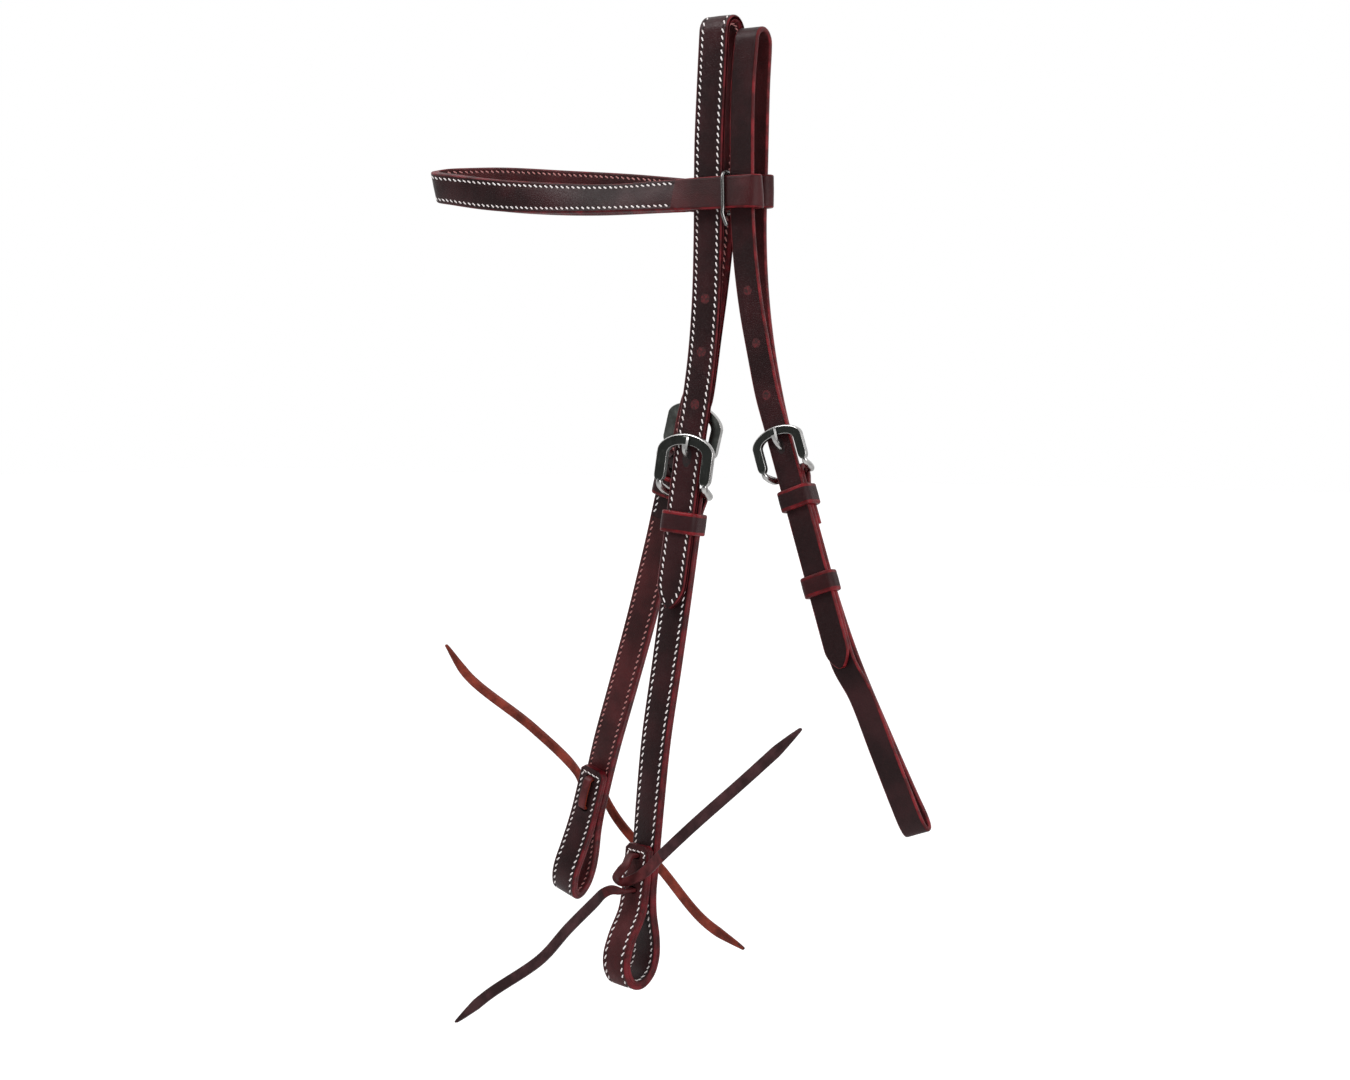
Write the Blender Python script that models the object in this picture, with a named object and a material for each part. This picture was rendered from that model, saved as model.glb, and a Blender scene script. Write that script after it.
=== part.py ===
"""Western headstall hanging by its crown: doubled crown and cheek straps, three hinged
buckles, split-loop browband with wire dividers, one-piece throatlatch, four leather
keepers and two laces that close the bit loops.

Metres, +Z up. The horse faces -X, its near side is -Y, and the origin lies under the
middle of the crown, where the headstall hangs."""

import math

import bmesh
import bpy
import numpy as np
from mathutils import Matrix, Vector

STRAP_WIDTH = 0.0159
PLY = 0.0020
PLY_GAP = 0.0004
LAYER_GAP = 0.0003
EDGE_CHAMFER = 0.00045
LONGEST_STEP = 0.0100
HOLE_DIAMETER = 0.0045
HOLE_PITCH = 0.0256
TONGUE_HOLE_LENGTH = 0.0086
BILLET_POINT = 0.0125
POINT_WIDTH = 0.0026
SEAT_LENGTH = 0.0040

THROAT_WIDTH = 0.0127
THROAT_THICKNESS = 0.0026
THROAT_POINT = 0.0100
THROAT_ARCH_RADIUS = 0.0062
THROAT_X = 0.0174
THROAT_TOP_DROP = 0.0024

ARCH_INNER_RADIUS = 0.00435
ROUTE_SPAN = 0.1000

NEAR_BILLET_START_SHARES = (-0.0761, -0.145, -1.962)
NEAR_BILLET_END_SHARES = (-0.1558, -0.226, -2.8024)
FAR_BILLET_START_SHARES = (-0.2222, 0.11, -1.8207)
FAR_BILLET_END_SHARES = (-0.5049, 0.19, -2.709)
NEAR_LEG_SHARES = (
    (-0.0605, -0.13, -1.829),
    (-0.0384, -0.107, -1.5839),
    (-0.0279, -0.087, -1.3109),
    (-0.0255, -0.0765, -1.0278),
    (-0.0205, -0.0765, -0.5667),
    (-0.0105, -0.0735, -0.3157),
)
FAR_LEG_SHARES = (
    (-0.0208, 0.0735, -0.3158),
    (-0.0389, 0.0765, -0.5668),
    (-0.0719, 0.0765, -1.0278),
    (-0.0977, 0.082, -1.2097),
    (-0.1444, 0.096, -1.4527),
    (-0.2043, 0.107, -1.78),
)

BAR_RADIUS = 0.0013
BAR_TO_HOLE = 0.0174
BAR_TO_RAIL = 0.0236
RAIL_WIDTH = 0.0054
RAIL_THICKNESS = 0.0025
FRAME_WIDTH = 0.0320
OPENING_WIDTH = 0.0205
RAIL_ARCH_RISE = 0.0100
RAIL_FOOT = 0.0046
FRAME_BEVEL = 0.0004
HEEL_SWELL_SHARES = (1.0, 1.35, 1.45, 1.45, 1.35, 1.15, 1.0)
CHAPE_LENGTH = 0.0310
CHAPE_SLOT_WIDTH = 0.0050
CHAPE_SLOT_DEPTH = 0.0115
TONGUE_WIDTH = 0.0027
TONGUE_THICKNESS = 0.0010

THROAT_BAR_RADIUS = 0.0011
THROAT_BAR_TO_HOLE = 0.0140
THROAT_BAR_TO_RAIL = 0.0190
THROAT_RAIL_WIDTH = 0.0044
THROAT_FRAME_WIDTH = 0.0272
THROAT_OPENING_WIDTH = 0.0184
THROAT_CHAPE_LENGTH = 0.0260

KEEPER_HEIGHT = 0.0105
KEEPER_LEATHER = 0.0020
KEEPER_PLAY = 0.0003
KEEPER_BEVEL = 0.0003
KEEPER_BELOW_BAR = 0.0140
THROAT_FIXED_BELOW_BAR = 0.0118
THROAT_SLIDING_BELOW_HOLE = 0.0682
THROAT_KEEPER_HEIGHT = 0.0100

NEAR_CHEEK_SHARES = (
    (-0.1791, -0.206, -3.0514),
    (-0.2125, -0.258, -3.4428),
    (-0.2267, -0.288, -3.7355),
)
NEAR_LOOP_TOP_SHARES = (-0.2307, -0.314, -3.9505)
NEAR_LOOP_DOWN_SHARES = (-0.060, -0.070, -1.000)
NEAR_LOOP_OUT_SHARES = (-0.208, -0.978, 0.000)
FAR_CHEEK_SHARES = (
    (-0.5719, 0.152, -2.9006),
    (-0.7145, 0.178, -3.2918),
    (-0.8228, 0.208, -3.5624),
)
FAR_LOOP_TOP_SHARES = (-0.8843, 0.236, -3.7126)
FAR_LOOP_DOWN_SHARES = (-0.292, 0.040, -0.958)
FAR_LOOP_OUT_SHARES = (-0.120, -0.993, 0.000)
LOOP_LENGTH = 0.0675
LOOP_SWELL = 0.0100
FAR_LOOP_LENGTH = 0.0702
FAR_LOOP_SWELL = 0.0066
LOOP_SHARES = (
    (0.00, 0.00),
    (0.16, 0.00),
    (0.33, 0.00),
    (0.49, -0.15),
    (0.67, -0.50),
    (0.81, -0.60),
    (0.92, -0.40),
    (0.985, 0.04),
    (1.000, 0.44),
    (0.978, 0.88),
    (0.90, 1.26),
    (0.80, 1.36),
    (0.66, 1.12),
)
LOOP_RETURN_SHARES = (0.49, 0.36, 0.20, 0.00)
LACE_HOLE_SHARES = (0.075, 0.325)
LACE_SLOT_WIDTH = 0.0062
LACE_SLOT_HEIGHT = 0.0037

BROWBAND_SHARES = (
    (-0.195, -0.1180, -0.812),
    (-0.635, -0.1170, -0.809),
    (-1.102, -0.1110, -0.773),
    (-1.383, -0.1010, -0.739),
    (-1.594, -0.0880, -0.705),
    (-1.698, -0.0640, -0.688),
    (-1.736, -0.0280, -0.675),
    (-1.741, 0.0100, -0.668),
    (-1.717, 0.0520, -0.660),
    (-1.622, 0.0880, -0.658),
    (-1.385, 0.1040, -0.668),
    (-1.000, 0.1090, -0.705),
    (-0.600, 0.1060, -0.745),
    (-0.240, 0.1000, -0.790),
)
BROWBAND_LEAN_DEG = (18, 26, 6, -8, -15, -16, -10, -6, -3, 0, 0, 0, 0, 0)
NEAR_LOOP_END = 0.0264
FAR_LOOP_END = 0.0228
NEAR_LOOP_Z = 0.0808
FAR_LOOP_Z = 0.0795
NEAR_LOOP_FRONT = 0.0129
FAR_LOOP_FRONT = 0.0112
NEAR_LOOP_LEAN_DEG = 11
LOOP_BACK = 0.0042
NEAR_LOOP_EDGE = 0.0100
FAR_LOOP_EDGE = 0.0143
BAND_SEWN_END = 0.0050
DIVIDER_X = 0.0078
DIVIDER_FAR_X = 0.0060
DIVIDER_WIRE_RADIUS = 0.0009
DIVIDER_LEG = 0.0075
DIVIDER_TURN_SHARE = 0.30

THROAT_NEAR_SHARES = (
    (0.1589, -0.067, -0.2991),
    (0.1562, -0.072, -0.6562),
    (0.1662, -0.075, -0.9993),
    (0.2122, -0.087, -1.3207),
    (0.2738, -0.097, -1.5919),
)
THROAT_BILLET_START_SHARES = (0.3197, -0.105, -1.768)
THROAT_BILLET_END_SHARES = (0.779, -0.199, -3.0348)
THROAT_HOLE_FROM_START = 0.0262
THROAT_LOWER_SHARES = (
    (0.8541, -0.152, -3.1588),
    (0.9472, -0.108, -3.4225),
    (1.0321, -0.062, -3.6683),
    (1.063, -0.036, -3.7632),
    (1.0748, -0.012, -3.7982),
    (1.0749, 0.012, -3.7942),
    (1.0571, 0.022, -3.7532),
    (1.0072, 0.012, -3.6483),
    (0.8924, -0.012, -3.3985),
    (0.6966, -0.01, -2.9996),
    (0.4913, 0.02, -2.5007),
    (0.295, 0.052, -1.9651),
    (0.2015, 0.066, -1.5999),
    (0.1569, 0.072, -1.2997),
    (0.1413, 0.072, -0.9993),
    (0.1488, 0.072, -0.6562),
    (0.1608, 0.067, -0.2991),
)

LACE_WIDTH = 0.0055
LACE_THICKNESS = 0.0018
LACE_KNOT_WIDTH = 0.0044
LACE_POINT = 0.0170
LACE_TIP_WIDTH = 0.0012
NEAR_LACE_SHARES = (
    (0.907, -0.013, -0.701),
    (0.631, 0.030, -0.422),
    (0.372, 0.072, -0.166),
    (0.189, 0.088, 0.016),
    (0.097, 0.083, 0.105),
    (0.019, 0.087, 0.16),
    (-0.035, 0.108, 0.185),
    (-0.047, 0.138, 0.168),
    (-0.018, 0.148, 0.128),
    (0.006, 0.138, 0.092),
    (0.002, 0.114, 0.056),
    (0.000, 0.085, 0.0506),
    (0.000, 0.020, 0.0506),
    (0.000, -0.032, 0.054),
    (0.000, -0.040, 0.096),
    (0.000, -0.039, 0.17),
    (0.000, -0.032, 0.214),
    (0.000, 0.020, 0.2194),
    (0.000, 0.082, 0.2194),
    (-0.008, 0.128, 0.226),
    (-0.037, 0.173, 0.219),
    (-0.076, 0.187, 0.241),
    (-0.141, 0.185, 0.303),
    (-0.294, 0.198, 0.463),
    (-0.450, 0.215, 0.645),
    (-0.765, 0.264, 0.895),
    (-0.960, 0.293, 1.077),
)
NEAR_LACE_ACROSS_DEG = (
    311, 311, 311, 311, 308, 298, 260, 200, 155, 172, 180, 180, 180, 180,
    180, 180, 180, 180, 182, 205, 250, 276, 306, 316, 318, 304, 312,
)
FAR_LACE_SHARES = (
    (-1.272, -0.006, -0.194),
    (-1.071, -0.026, -0.08),
    (-0.574, -0.068, 0.024),
    (-0.216, -0.080, 0.131),
    (-0.096, -0.053, 0.209),
    (-0.018, -0.048, 0.2194),
    (0.000, -0.015, 0.2194),
    (0.000, 0.047, 0.2194),
    (0.000, 0.081, 0.211),
    (0.000, 0.088, 0.178),
    (0.000, 0.088, 0.092),
    (0.000, 0.081, 0.059),
    (0.000, 0.050, 0.0506),
    (0.000, 0.000, 0.0506),
    (0.000, -0.034, 0.0506),
    (-0.012, -0.080, 0.064),
    (-0.028, -0.106, 0.12),
    (-0.030, -0.118, 0.187),
    (0.028, -0.126, 0.247),
    (0.129, -0.143, 0.315),
    (0.404, -0.174, 0.432),
    (0.720, -0.205, 0.582),
    (0.990, -0.234, 0.622),
)
FAR_LACE_ACROSS_DEG = (
    40, 58, 57, 52, 40, 15, 0, 0, 0, 0, 0, 0, 0, 0, 0, 0, -8, 0, 25, 40, 44, 50, 62,
)

SAMPLES = 24
MOST_TURN_DEG = 16.0
RING_CORNERS = 16
WELD = 0.000005
SHARP_DEG = 40.0

BLACK_CHERRY = ((0.045, 0.016, 0.018), 0.42, 0.0)
CHESTNUT = ((0.090, 0.014, 0.016), 0.50, 0.0)
STRAP_RED = ((0.130, 0.020, 0.020), 0.45, 0.0)
LACE_RED = ((0.110, 0.030, 0.022), 0.60, 0.0)
DARK_STEEL = ((0.105, 0.105, 0.110), 0.30, 1.0)
BRIGHT_STEEL = ((0.560, 0.550, 0.540), 0.22, 1.0)


def clear_scene():
    for obj in list(bpy.data.objects):
        bpy.data.objects.remove(obj, do_unlink=True)


def collection(name):
    made = bpy.data.collections.new(name)
    bpy.context.scene.collection.children.link(made)
    return made


def material(name, look):
    colour, rough, metal = look
    made = bpy.data.materials.new(name)
    made.use_nodes = True
    shader = made.node_tree.nodes["Principled BSDF"]
    shader.inputs["Base Color"].default_value = (*colour, 1.0)
    shader.inputs["Roughness"].default_value = rough
    shader.inputs["Metallic"].default_value = metal
    made.diffuse_color = (*colour, 1.0)
    return made


def spans(shares):
    return np.array(shares, float) * ROUTE_SPAN


def unit(vector):
    vector = np.array(vector, float)
    return vector / np.linalg.norm(vector)


def turned(vector, axis, degrees):
    angle = math.radians(degrees)
    return vector * math.cos(angle) + np.cross(axis, vector) * math.sin(angle)


class Route:
    """A smooth line through points, with the direction of the strap's width at each."""

    def __init__(self, points, across):
        points = np.array(points, float)
        across = np.array(across, float)
        if across.ndim == 1:
            across = np.repeat(across[None], len(points), axis=0)
        rows = np.hstack([points, across])
        gaps = np.sqrt(np.linalg.norm(np.diff(points, axis=0), axis=1))
        knots = np.concatenate([[0.0], np.cumsum(gaps)])
        slopes = np.gradient(rows, knots, axis=0)
        dense = []
        for i in range(len(rows) - 1):
            h = knots[i + 1] - knots[i]
            u = np.linspace(0.0, 1.0, SAMPLES, endpoint=False)[:, None]
            dense.append(
                (2 * u**3 - 3 * u**2 + 1) * rows[i]
                + (u**3 - 2 * u**2 + u) * h * slopes[i]
                + (3 * u**2 - 2 * u**3) * rows[i + 1]
                + (u**3 - u**2) * h * slopes[i + 1]
            )
        dense.append(rows[-1:])
        dense = np.vstack(dense)
        self.line = dense[:, :3]
        steps = np.linalg.norm(np.diff(self.line, axis=0), axis=1)
        self.at = np.concatenate([[0.0], np.cumsum(steps)])
        self.length = self.at[-1]
        along = np.gradient(self.line, self.at, axis=0)
        self.along = along / np.linalg.norm(along, axis=1)[:, None]
        side = dense[:, 3:]
        side = side - self.along * (side * self.along).sum(axis=1)[:, None]
        self.side = side / np.linalg.norm(side, axis=1)[:, None]

    def _read(self, table, s):
        return np.array([np.interp(s, self.at, column) for column in table.T])

    def frame(self, s):
        along = unit(self._read(self.along, s))
        side = self._read(self.side, s)
        side = unit(side - along * (side @ along))
        return self._read(self.line, s), along, side, np.cross(side, along)

    def nearest(self, point):
        return self.at[np.argmin(np.linalg.norm(self.line - point, axis=1))]

    def stations(self, start, end, flats=()):
        """Ring positions, closer where the route turns, with one flat step at each seat."""
        found = [start]
        turn = 0.0
        inside = (self.at > start) & (self.at < end)
        last_along = self.frame(start)[1]
        last_side = self.frame(start)[2]
        for s in self.at[inside]:
            _, along, side, _ = self.frame(s)
            turn += math.degrees(math.acos(np.clip(along @ last_along, -1, 1)))
            turn += math.degrees(math.acos(np.clip(side @ last_side, -1, 1)))
            last_along = along
            last_side = side
            if turn > MOST_TURN_DEG or s - found[-1] > LONGEST_STEP:
                found.append(s)
                turn = 0.0
        if end - found[-1] < PLY and len(found) > 1:
            found.pop()
        found.append(end)
        for middle in flats:
            low = middle - SEAT_LENGTH / 2
            high = middle + SEAT_LENGTH / 2
            found = [s for s in found if not low - PLY / 2 < s < high + PLY / 2]
            found += [low, high]
        return sorted(found)

    def rings(self, stations, offset=0.0):
        """Ring places, each with its width direction and facing, moved out from the face."""
        found = []
        for s in stations:
            point, _, side, out = self.frame(s)
            found.append((point + out * offset, side, out))
        return found


def section(width, thickness):
    """Corners of a strap's cross-section with its four edges chamfered."""
    w = width / 2
    t = thickness / 2
    c = min(EDGE_CHAMFER, t * 0.8, w * 0.8)
    return (
        (w, t - c),
        (w - c, t),
        (c - w, t),
        (-w, t - c),
        (-w, c - t),
        (c - w, -t),
        (w - c, -t),
        (w, c - t),
    )


def mesh_object(name, bm, look, into):
    bmesh.ops.recalc_face_normals(bm, faces=bm.faces)
    mesh = bpy.data.meshes.new(name)
    bm.to_mesh(mesh)
    bm.free()
    mesh.shade_smooth()
    mesh.set_sharp_from_angle(angle=math.radians(SHARP_DEG))
    obj = bpy.data.objects.new(name, mesh)
    into.objects.link(obj)
    if look is not None:
        mesh.materials.append(material(name + "_finish", look))
    return obj


def origin_to(obj, point):
    """Puts a moving piece's origin on its joint's axis and leaves the piece where it is."""
    obj.data.transform(Matrix.Translation(Vector(point)).inverted())
    obj.location = Vector(point)


def strap(name, rings, size, look, widths=None):
    """A leather strip lofted through its rings, with flat ends."""
    width, thickness = size
    bm = bmesh.new()
    loops = []
    for i, (point, side, out) in enumerate(rings):
        wide = width if widths is None else widths[i]
        corners = section(wide, thickness)
        loops.append([bm.verts.new(point + side * a + out * b) for a, b in corners])
    for first, second in zip(loops, loops[1:]):
        for i in range(len(first)):
            j = (i + 1) % len(first)
            bm.faces.new((first[i], first[j], second[j], second[i]))
    bm.faces.new(loops[0])
    bm.faces.new(loops[-1])
    return mesh_object(name, bm, look, PARTS)


def cut(obj, cutter):
    modifier = obj.modifiers.new("Cut_" + cutter.name, "BOOLEAN")
    modifier.operation = "DIFFERENCE"
    modifier.solver = "EXACT"
    modifier.object = cutter


def cutter_object(name, bm):
    obj = mesh_object(name, bm, None, CUTTERS)
    obj.hide_render = True
    obj.display_type = "WIRE"
    return obj


def frame_matrix(point, side, out, along):
    rows = np.eye(4)
    rows[:3, 0] = side
    rows[:3, 1] = out
    rows[:3, 2] = along
    rows[:3, 3] = point
    return Matrix(rows.tolist())


def hole_cutter(name, place, width, length, depth):
    """An oval punch through the face: wide across the strap, long along it."""
    point, along, side, out = place
    bm = bmesh.new()
    bmesh.ops.create_cone(
        bm,
        cap_ends=True,
        segments=RING_CORNERS,
        radius1=width / 2,
        radius2=width / 2,
        depth=depth,
    )
    bmesh.ops.scale(bm, vec=(1.0, length / width, 1.0), verts=bm.verts)
    bmesh.ops.transform(bm, matrix=frame_matrix(point, side, along, out), verts=bm.verts)
    return cutter_object(name, bm)


def box_cutter(name, matrix, low, high):
    bm = bmesh.new()
    bmesh.ops.create_cube(bm, size=1.0)
    middle = (Vector(low) + Vector(high)) / 2
    size = Vector(high) - Vector(low)
    bmesh.ops.scale(bm, vec=size, verts=bm.verts)
    bmesh.ops.translate(bm, vec=middle, verts=bm.verts)
    bmesh.ops.transform(bm, matrix=matrix, verts=bm.verts)
    return cutter_object(name, bm)


def pointed(start, end, width, point):
    """Width along a strap whose two ends taper to a blunt point."""

    def width_at(s):
        left = min(s - start, end - s)
        if left >= point:
            return width
        share = max(left, 0.0) / point
        return POINT_WIDTH + (width - POINT_WIDTH) * math.sin(share * math.pi / 2) ** 0.8

    return width_at


def point_stations(stations, start, end, point):
    """Extra rings inside the pointed ends."""
    shares = (0.12, 0.30, 0.55, 0.78, 1.0)
    kept = [s for s in stations if start + point < s < end - point]
    ends = [start + point * share for share in shares]
    ends += [end - point * share for share in shares]
    return sorted([start, end] + ends + kept)


class Seat:
    """A buckle's place on its billet: across, out of the face and up the strap."""

    def __init__(self, hole, up, side, bar_drop, bar_out):
        self.up = unit(up)
        self.side = unit(side - self.up * (side @ self.up))
        self.out = np.cross(self.side, self.up)
        self.base = hole - self.up * bar_drop
        self.bar = self.base + self.out * bar_out

    def at(self, across, out, up):
        return self.base + self.side * across + self.out * out + self.up * up

    def matrix(self, point):
        return frame_matrix(point, self.side, self.out, self.up)


def outline_curve(name, outlines, half_height, bevel):
    """A flat plate from closed outlines, inner ones left open, thickened both ways."""
    data = bpy.data.curves.new(name, "CURVE")
    data.dimensions = "2D"
    data.fill_mode = "BOTH"
    data.extrude = half_height - bevel
    data.bevel_depth = bevel
    data.bevel_resolution = 1
    data.offset = -bevel
    for outline in outlines:
        spline = data.splines.new("POLY")
        spline.points.add(len(outline) - 1)
        for point, (x, y) in zip(spline.points, outline):
            point.co = (x, y, 0.0, 1.0)
        spline.use_cyclic_u = True
    return data


def solid_from_curve(name, data, matrix):
    """The curve's closed mesh, welded where its caps meet its sides."""
    guide = bpy.data.objects.new(name + "_guide", data)
    CUTTERS.objects.link(guide)
    guide.matrix_world = matrix
    bpy.context.view_layer.update()
    mesh = bpy.data.meshes.new_from_object(guide)
    bm = bmesh.new()
    bm.from_mesh(mesh)
    bmesh.ops.remove_doubles(bm, verts=bm.verts, dist=WELD)
    bmesh.ops.transform(bm, matrix=guide.matrix_world, verts=bm.verts)
    bpy.data.objects.remove(guide, do_unlink=True)
    bpy.data.meshes.remove(mesh)
    return bm


def tube_curve(name, points, radius, swells=None):
    """A round wire through points, swollen by a share at each where one is given."""
    data = bpy.data.curves.new(name, "CURVE")
    data.dimensions = "3D"
    data.bevel_depth = radius
    data.bevel_resolution = 2
    data.use_fill_caps = True
    spline = data.splines.new("POLY")
    spline.points.add(len(points) - 1)
    for i, place in enumerate(points):
        spline.points[i].co = (*place, 1.0)
        spline.points[i].radius = 1.0 if swells is None else swells[i]
    return data


def arch_outline(size):
    """The flat front of a frame: straight sides that stop short, and an arched top rail."""
    rail, rail_width, frame_width, opening, rise, foot = size
    w = frame_width / 2
    v = opening / 2
    top = rail + rail_width
    outer = [
        (w, foot),
        (w, top - rise * 0.94),
        (w * 0.985, top - rise * 0.74),
        (w * 0.93, top - rise * 0.55),
        (w * 0.82, top - rise * 0.385),
        (w * 0.62, top - rise * 0.225),
        (w * 0.34, top - rise * 0.08),
        (0.0, top),
    ]
    inner = [
        (0.0, rail),
        (v * 0.40, rail - rise * 0.03),
        (v * 0.72, rail - rise * 0.12),
        (v * 0.92, rail - rise * 0.28),
        (v, rail - rise * 0.52),
        (v, foot),
    ]
    left_outer = [(-x, y) for x, y in reversed(outer[:-1])]
    left_inner = [(-x, y) for x, y in reversed(inner[1:])]
    return outer + left_outer + left_inner + inner[:-1]


def buckle_frame(name, seat, size, bar_out, front, bar_radius):
    """Flat arched front in front of the billet, and a round heel set back behind it."""
    rail, rail_width, frame_width, opening, rise, foot = size
    half = RAIL_THICKNESS / 2
    face = seat.at(0.0, front + half, 0.0)
    columns = np.eye(4)
    columns[:3, 0] = seat.side
    columns[:3, 1] = seat.up
    columns[:3, 2] = -seat.out
    columns[:3, 3] = face
    plate = outline_curve(name + "_plate", [arch_outline(size)], half, FRAME_BEVEL)
    bm = solid_from_curve(name + "_plate", plate, Matrix(columns.tolist()))
    frame = mesh_object(name, bm, DARK_STEEL, PARTS)
    x = (frame_width + opening) / 4
    mid = front + half
    reach = opening / 2
    path = [
        (x, mid, foot + rail_width * 0.9),
        (x, mid, foot + rail_width * 0.2),
        (x * 0.995, mid - bar_radius * 0.5, foot * 0.60),
        (x * 0.98, mid - (mid - bar_out) * 0.40, foot * 0.22),
        (x * 0.95, mid - (mid - bar_out) * 0.72, foot * 0.04),
        (x * 0.88, bar_out + bar_radius * 0.25, 0.0),
        (reach * 0.86, bar_out, 0.0),
    ]
    whole = path + [(-a, b, c) for a, b, c in reversed(path)]
    places = [seat.at(*row) for row in whole]
    swells = list(HEEL_SWELL_SHARES) + list(reversed(HEEL_SWELL_SHARES))
    wire = tube_curve(name + "_heel", places, bar_radius, swells)
    heel_bm = solid_from_curve(name + "_heel", wire, Matrix())
    heel = cutter_object(name + "_heel_body", heel_bm)
    join = frame.modifiers.new("Heel", "BOOLEAN")
    join.operation = "UNION"
    join.solver = "EXACT"
    join.object = heel
    origin_to(frame, seat.bar)


def buckle_tongue(name, seat, bar_out, bar_radius, hole_up, rail, front, tip_up):
    """A flat steel tongue: an eye round the heel bar, a rise through the hole, a tip on the rail."""
    eye = bar_radius + PLY_GAP + TONGUE_THICKNESS / 2
    rest = front + RAIL_THICKNESS + TONGUE_THICKNESS / 2 + PLY_GAP
    bend = bar_out + eye
    points = [
        (0.0, bar_out + eye * math.cos(math.radians(d)), eye * math.sin(math.radians(d)))
        for d in range(-300, 1, 30)
    ]
    points += [
        (0.0, bend, hole_up * 0.30),
        (0.0, bend, hole_up * 0.58),
        (0.0, bend + PLY * 0.1, hole_up * 0.79),
        (0.0, 0.0, hole_up),
        (0.0, rest * 0.86, hole_up + (rail - hole_up) * 0.55),
        (0.0, rest, hole_up + (rail - hole_up) * 0.98),
        (0.0, rest, (rail + tip_up) / 2),
        (0.0, rest, tip_up),
    ]
    places = [seat.at(*row) for row in points]
    route = Route(places, seat.side)
    rings = route.rings(route.stations(0.0, route.length))
    tongue = strap(name, rings, (TONGUE_WIDTH, TONGUE_THICKNESS), BRIGHT_STEEL)
    origin_to(tongue, seat.bar)


def keeper(name, seat, middle_up, low_out, high_out, width, height, look):
    """A closed leather ring round the layers that pass through it."""
    inner_w = width / 2 + KEEPER_PLAY
    low = low_out - KEEPER_PLAY
    high = high_out + KEEPER_PLAY
    corner = KEEPER_LEATHER
    rings = []
    for grow, radius in ((KEEPER_LEATHER, corner), (0.0, corner * 0.3)):
        w = inner_w + grow
        a = low - grow
        b = high + grow
        outline = []
        for cx, cy, start in (
            (w - radius, b - radius, 0),
            (radius - w, b - radius, 90),
            (radius - w, a + radius, 180),
            (w - radius, a + radius, 270),
        ):
            for step in range(0, 91, 30):
                angle = math.radians(start + step)
                outline.append((cx + radius * math.cos(angle), cy + radius * math.sin(angle)))
        rings.append(outline)
    data = outline_curve(name, rings, height / 2, KEEPER_BEVEL)
    columns = np.eye(4)
    columns[:3, 0] = seat.side
    columns[:3, 1] = seat.out
    columns[:3, 2] = seat.up
    columns[:3, 3] = seat.at(0.0, 0.0, middle_up)
    bm = solid_from_curve(name, data, Matrix(columns.tolist()))
    ring = mesh_object(name, bm, look, PARTS)
    origin_to(ring, seat.at(0.0, 0.0, middle_up))


def chape_rows(bar_out, radius, front, back, length):
    """Rows (out, up) of a strap end that comes up behind, round the bar and down in front."""
    rows = [
        (back, -length),
        (back, -length * 0.66),
        (back, -length * 0.38),
        (back + (bar_out - radius - back) * 0.04, -length * 0.28),
        (back + (bar_out - radius - back) * 0.36, -length * 0.19),
        (back + (bar_out - radius - back) * 0.86, -length * 0.08),
    ]
    for degrees in (180, 150, 120, 90, 60, 30, 0):
        angle = math.radians(degrees)
        rows.append((bar_out + radius * math.cos(angle), radius * math.sin(angle)))
    rows += [(front, -length * 0.30), (front, -length * 0.70)]
    return rows


def crown():
    """The two plies that run from one billet point over the top to the other."""
    radius = ARCH_INNER_RADIUS + PLY + PLY_GAP / 2
    lift = ARCH_INNER_RADIUS * math.cos(math.asin(SEAT_LENGTH / 2 / radius))
    near_start = spans(NEAR_BILLET_START_SHARES)
    near_end = spans(NEAR_BILLET_END_SHARES)
    far_start = spans(FAR_BILLET_START_SHARES)
    far_end = spans(FAR_BILLET_END_SHARES)
    points = [near_end + (near_start - near_end) * share for share in (0.0, 0.25, 0.5, 0.75, 1.0)]
    points += list(spans(NEAR_LEG_SHARES))
    for degrees in range(0, 181, 15):
        angle = math.radians(degrees)
        points.append(np.array([0.0, -radius * math.cos(angle), radius * math.sin(angle) - lift]))
    points += list(spans(FAR_LEG_SHARES))
    points += [far_start + (far_end - far_start) * share for share in (0.0, 0.25, 0.5, 0.75, 1.0)]
    route = Route(points, (1.0, 0.0, 0.0))
    top = route.nearest(np.array([0.0, 0.0, radius - lift]))
    stations = route.stations(0.0, route.length, (top,))
    stations = point_stations(stations, 0.0, route.length, BILLET_POINT)
    width_at = pointed(0.0, route.length, STRAP_WIDTH, BILLET_POINT)
    widths = [width_at(s) for s in stations]
    offset = (PLY + PLY_GAP) / 2
    size = (STRAP_WIDTH, PLY)
    outer = strap("crown_outer", route.rings(stations, offset), size, BLACK_CHERRY, widths)
    lining = strap("crown_lining", route.rings(stations, -offset), size, CHESTNUT, widths)
    for side, start, end, sign in (
        ("near", near_start, near_end, 1),
        ("far", far_start, far_end, -1),
    ):
        hole = tongue_hole(start, end)
        s_hole = route.nearest(hole)
        for i in range(4):
            s = s_hole + sign * i * HOLE_PITCH
            length = TONGUE_HOLE_LENGTH if i == 0 else HOLE_DIAMETER
            punch = hole_cutter(
                f"{side}_crown_punch_{i}", route.frame(s), HOLE_DIAMETER, length, PLY * 4
            )
            cut(outer, punch)
            cut(lining, punch)


def tongue_hole(start, end):
    """The buckled hole, placed so that the frame's bar sits where the billet is straight."""
    direction = unit(start - end)
    return start - direction * (BAR_TO_RAIL + RAIL_WIDTH - BAR_TO_HOLE)


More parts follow.
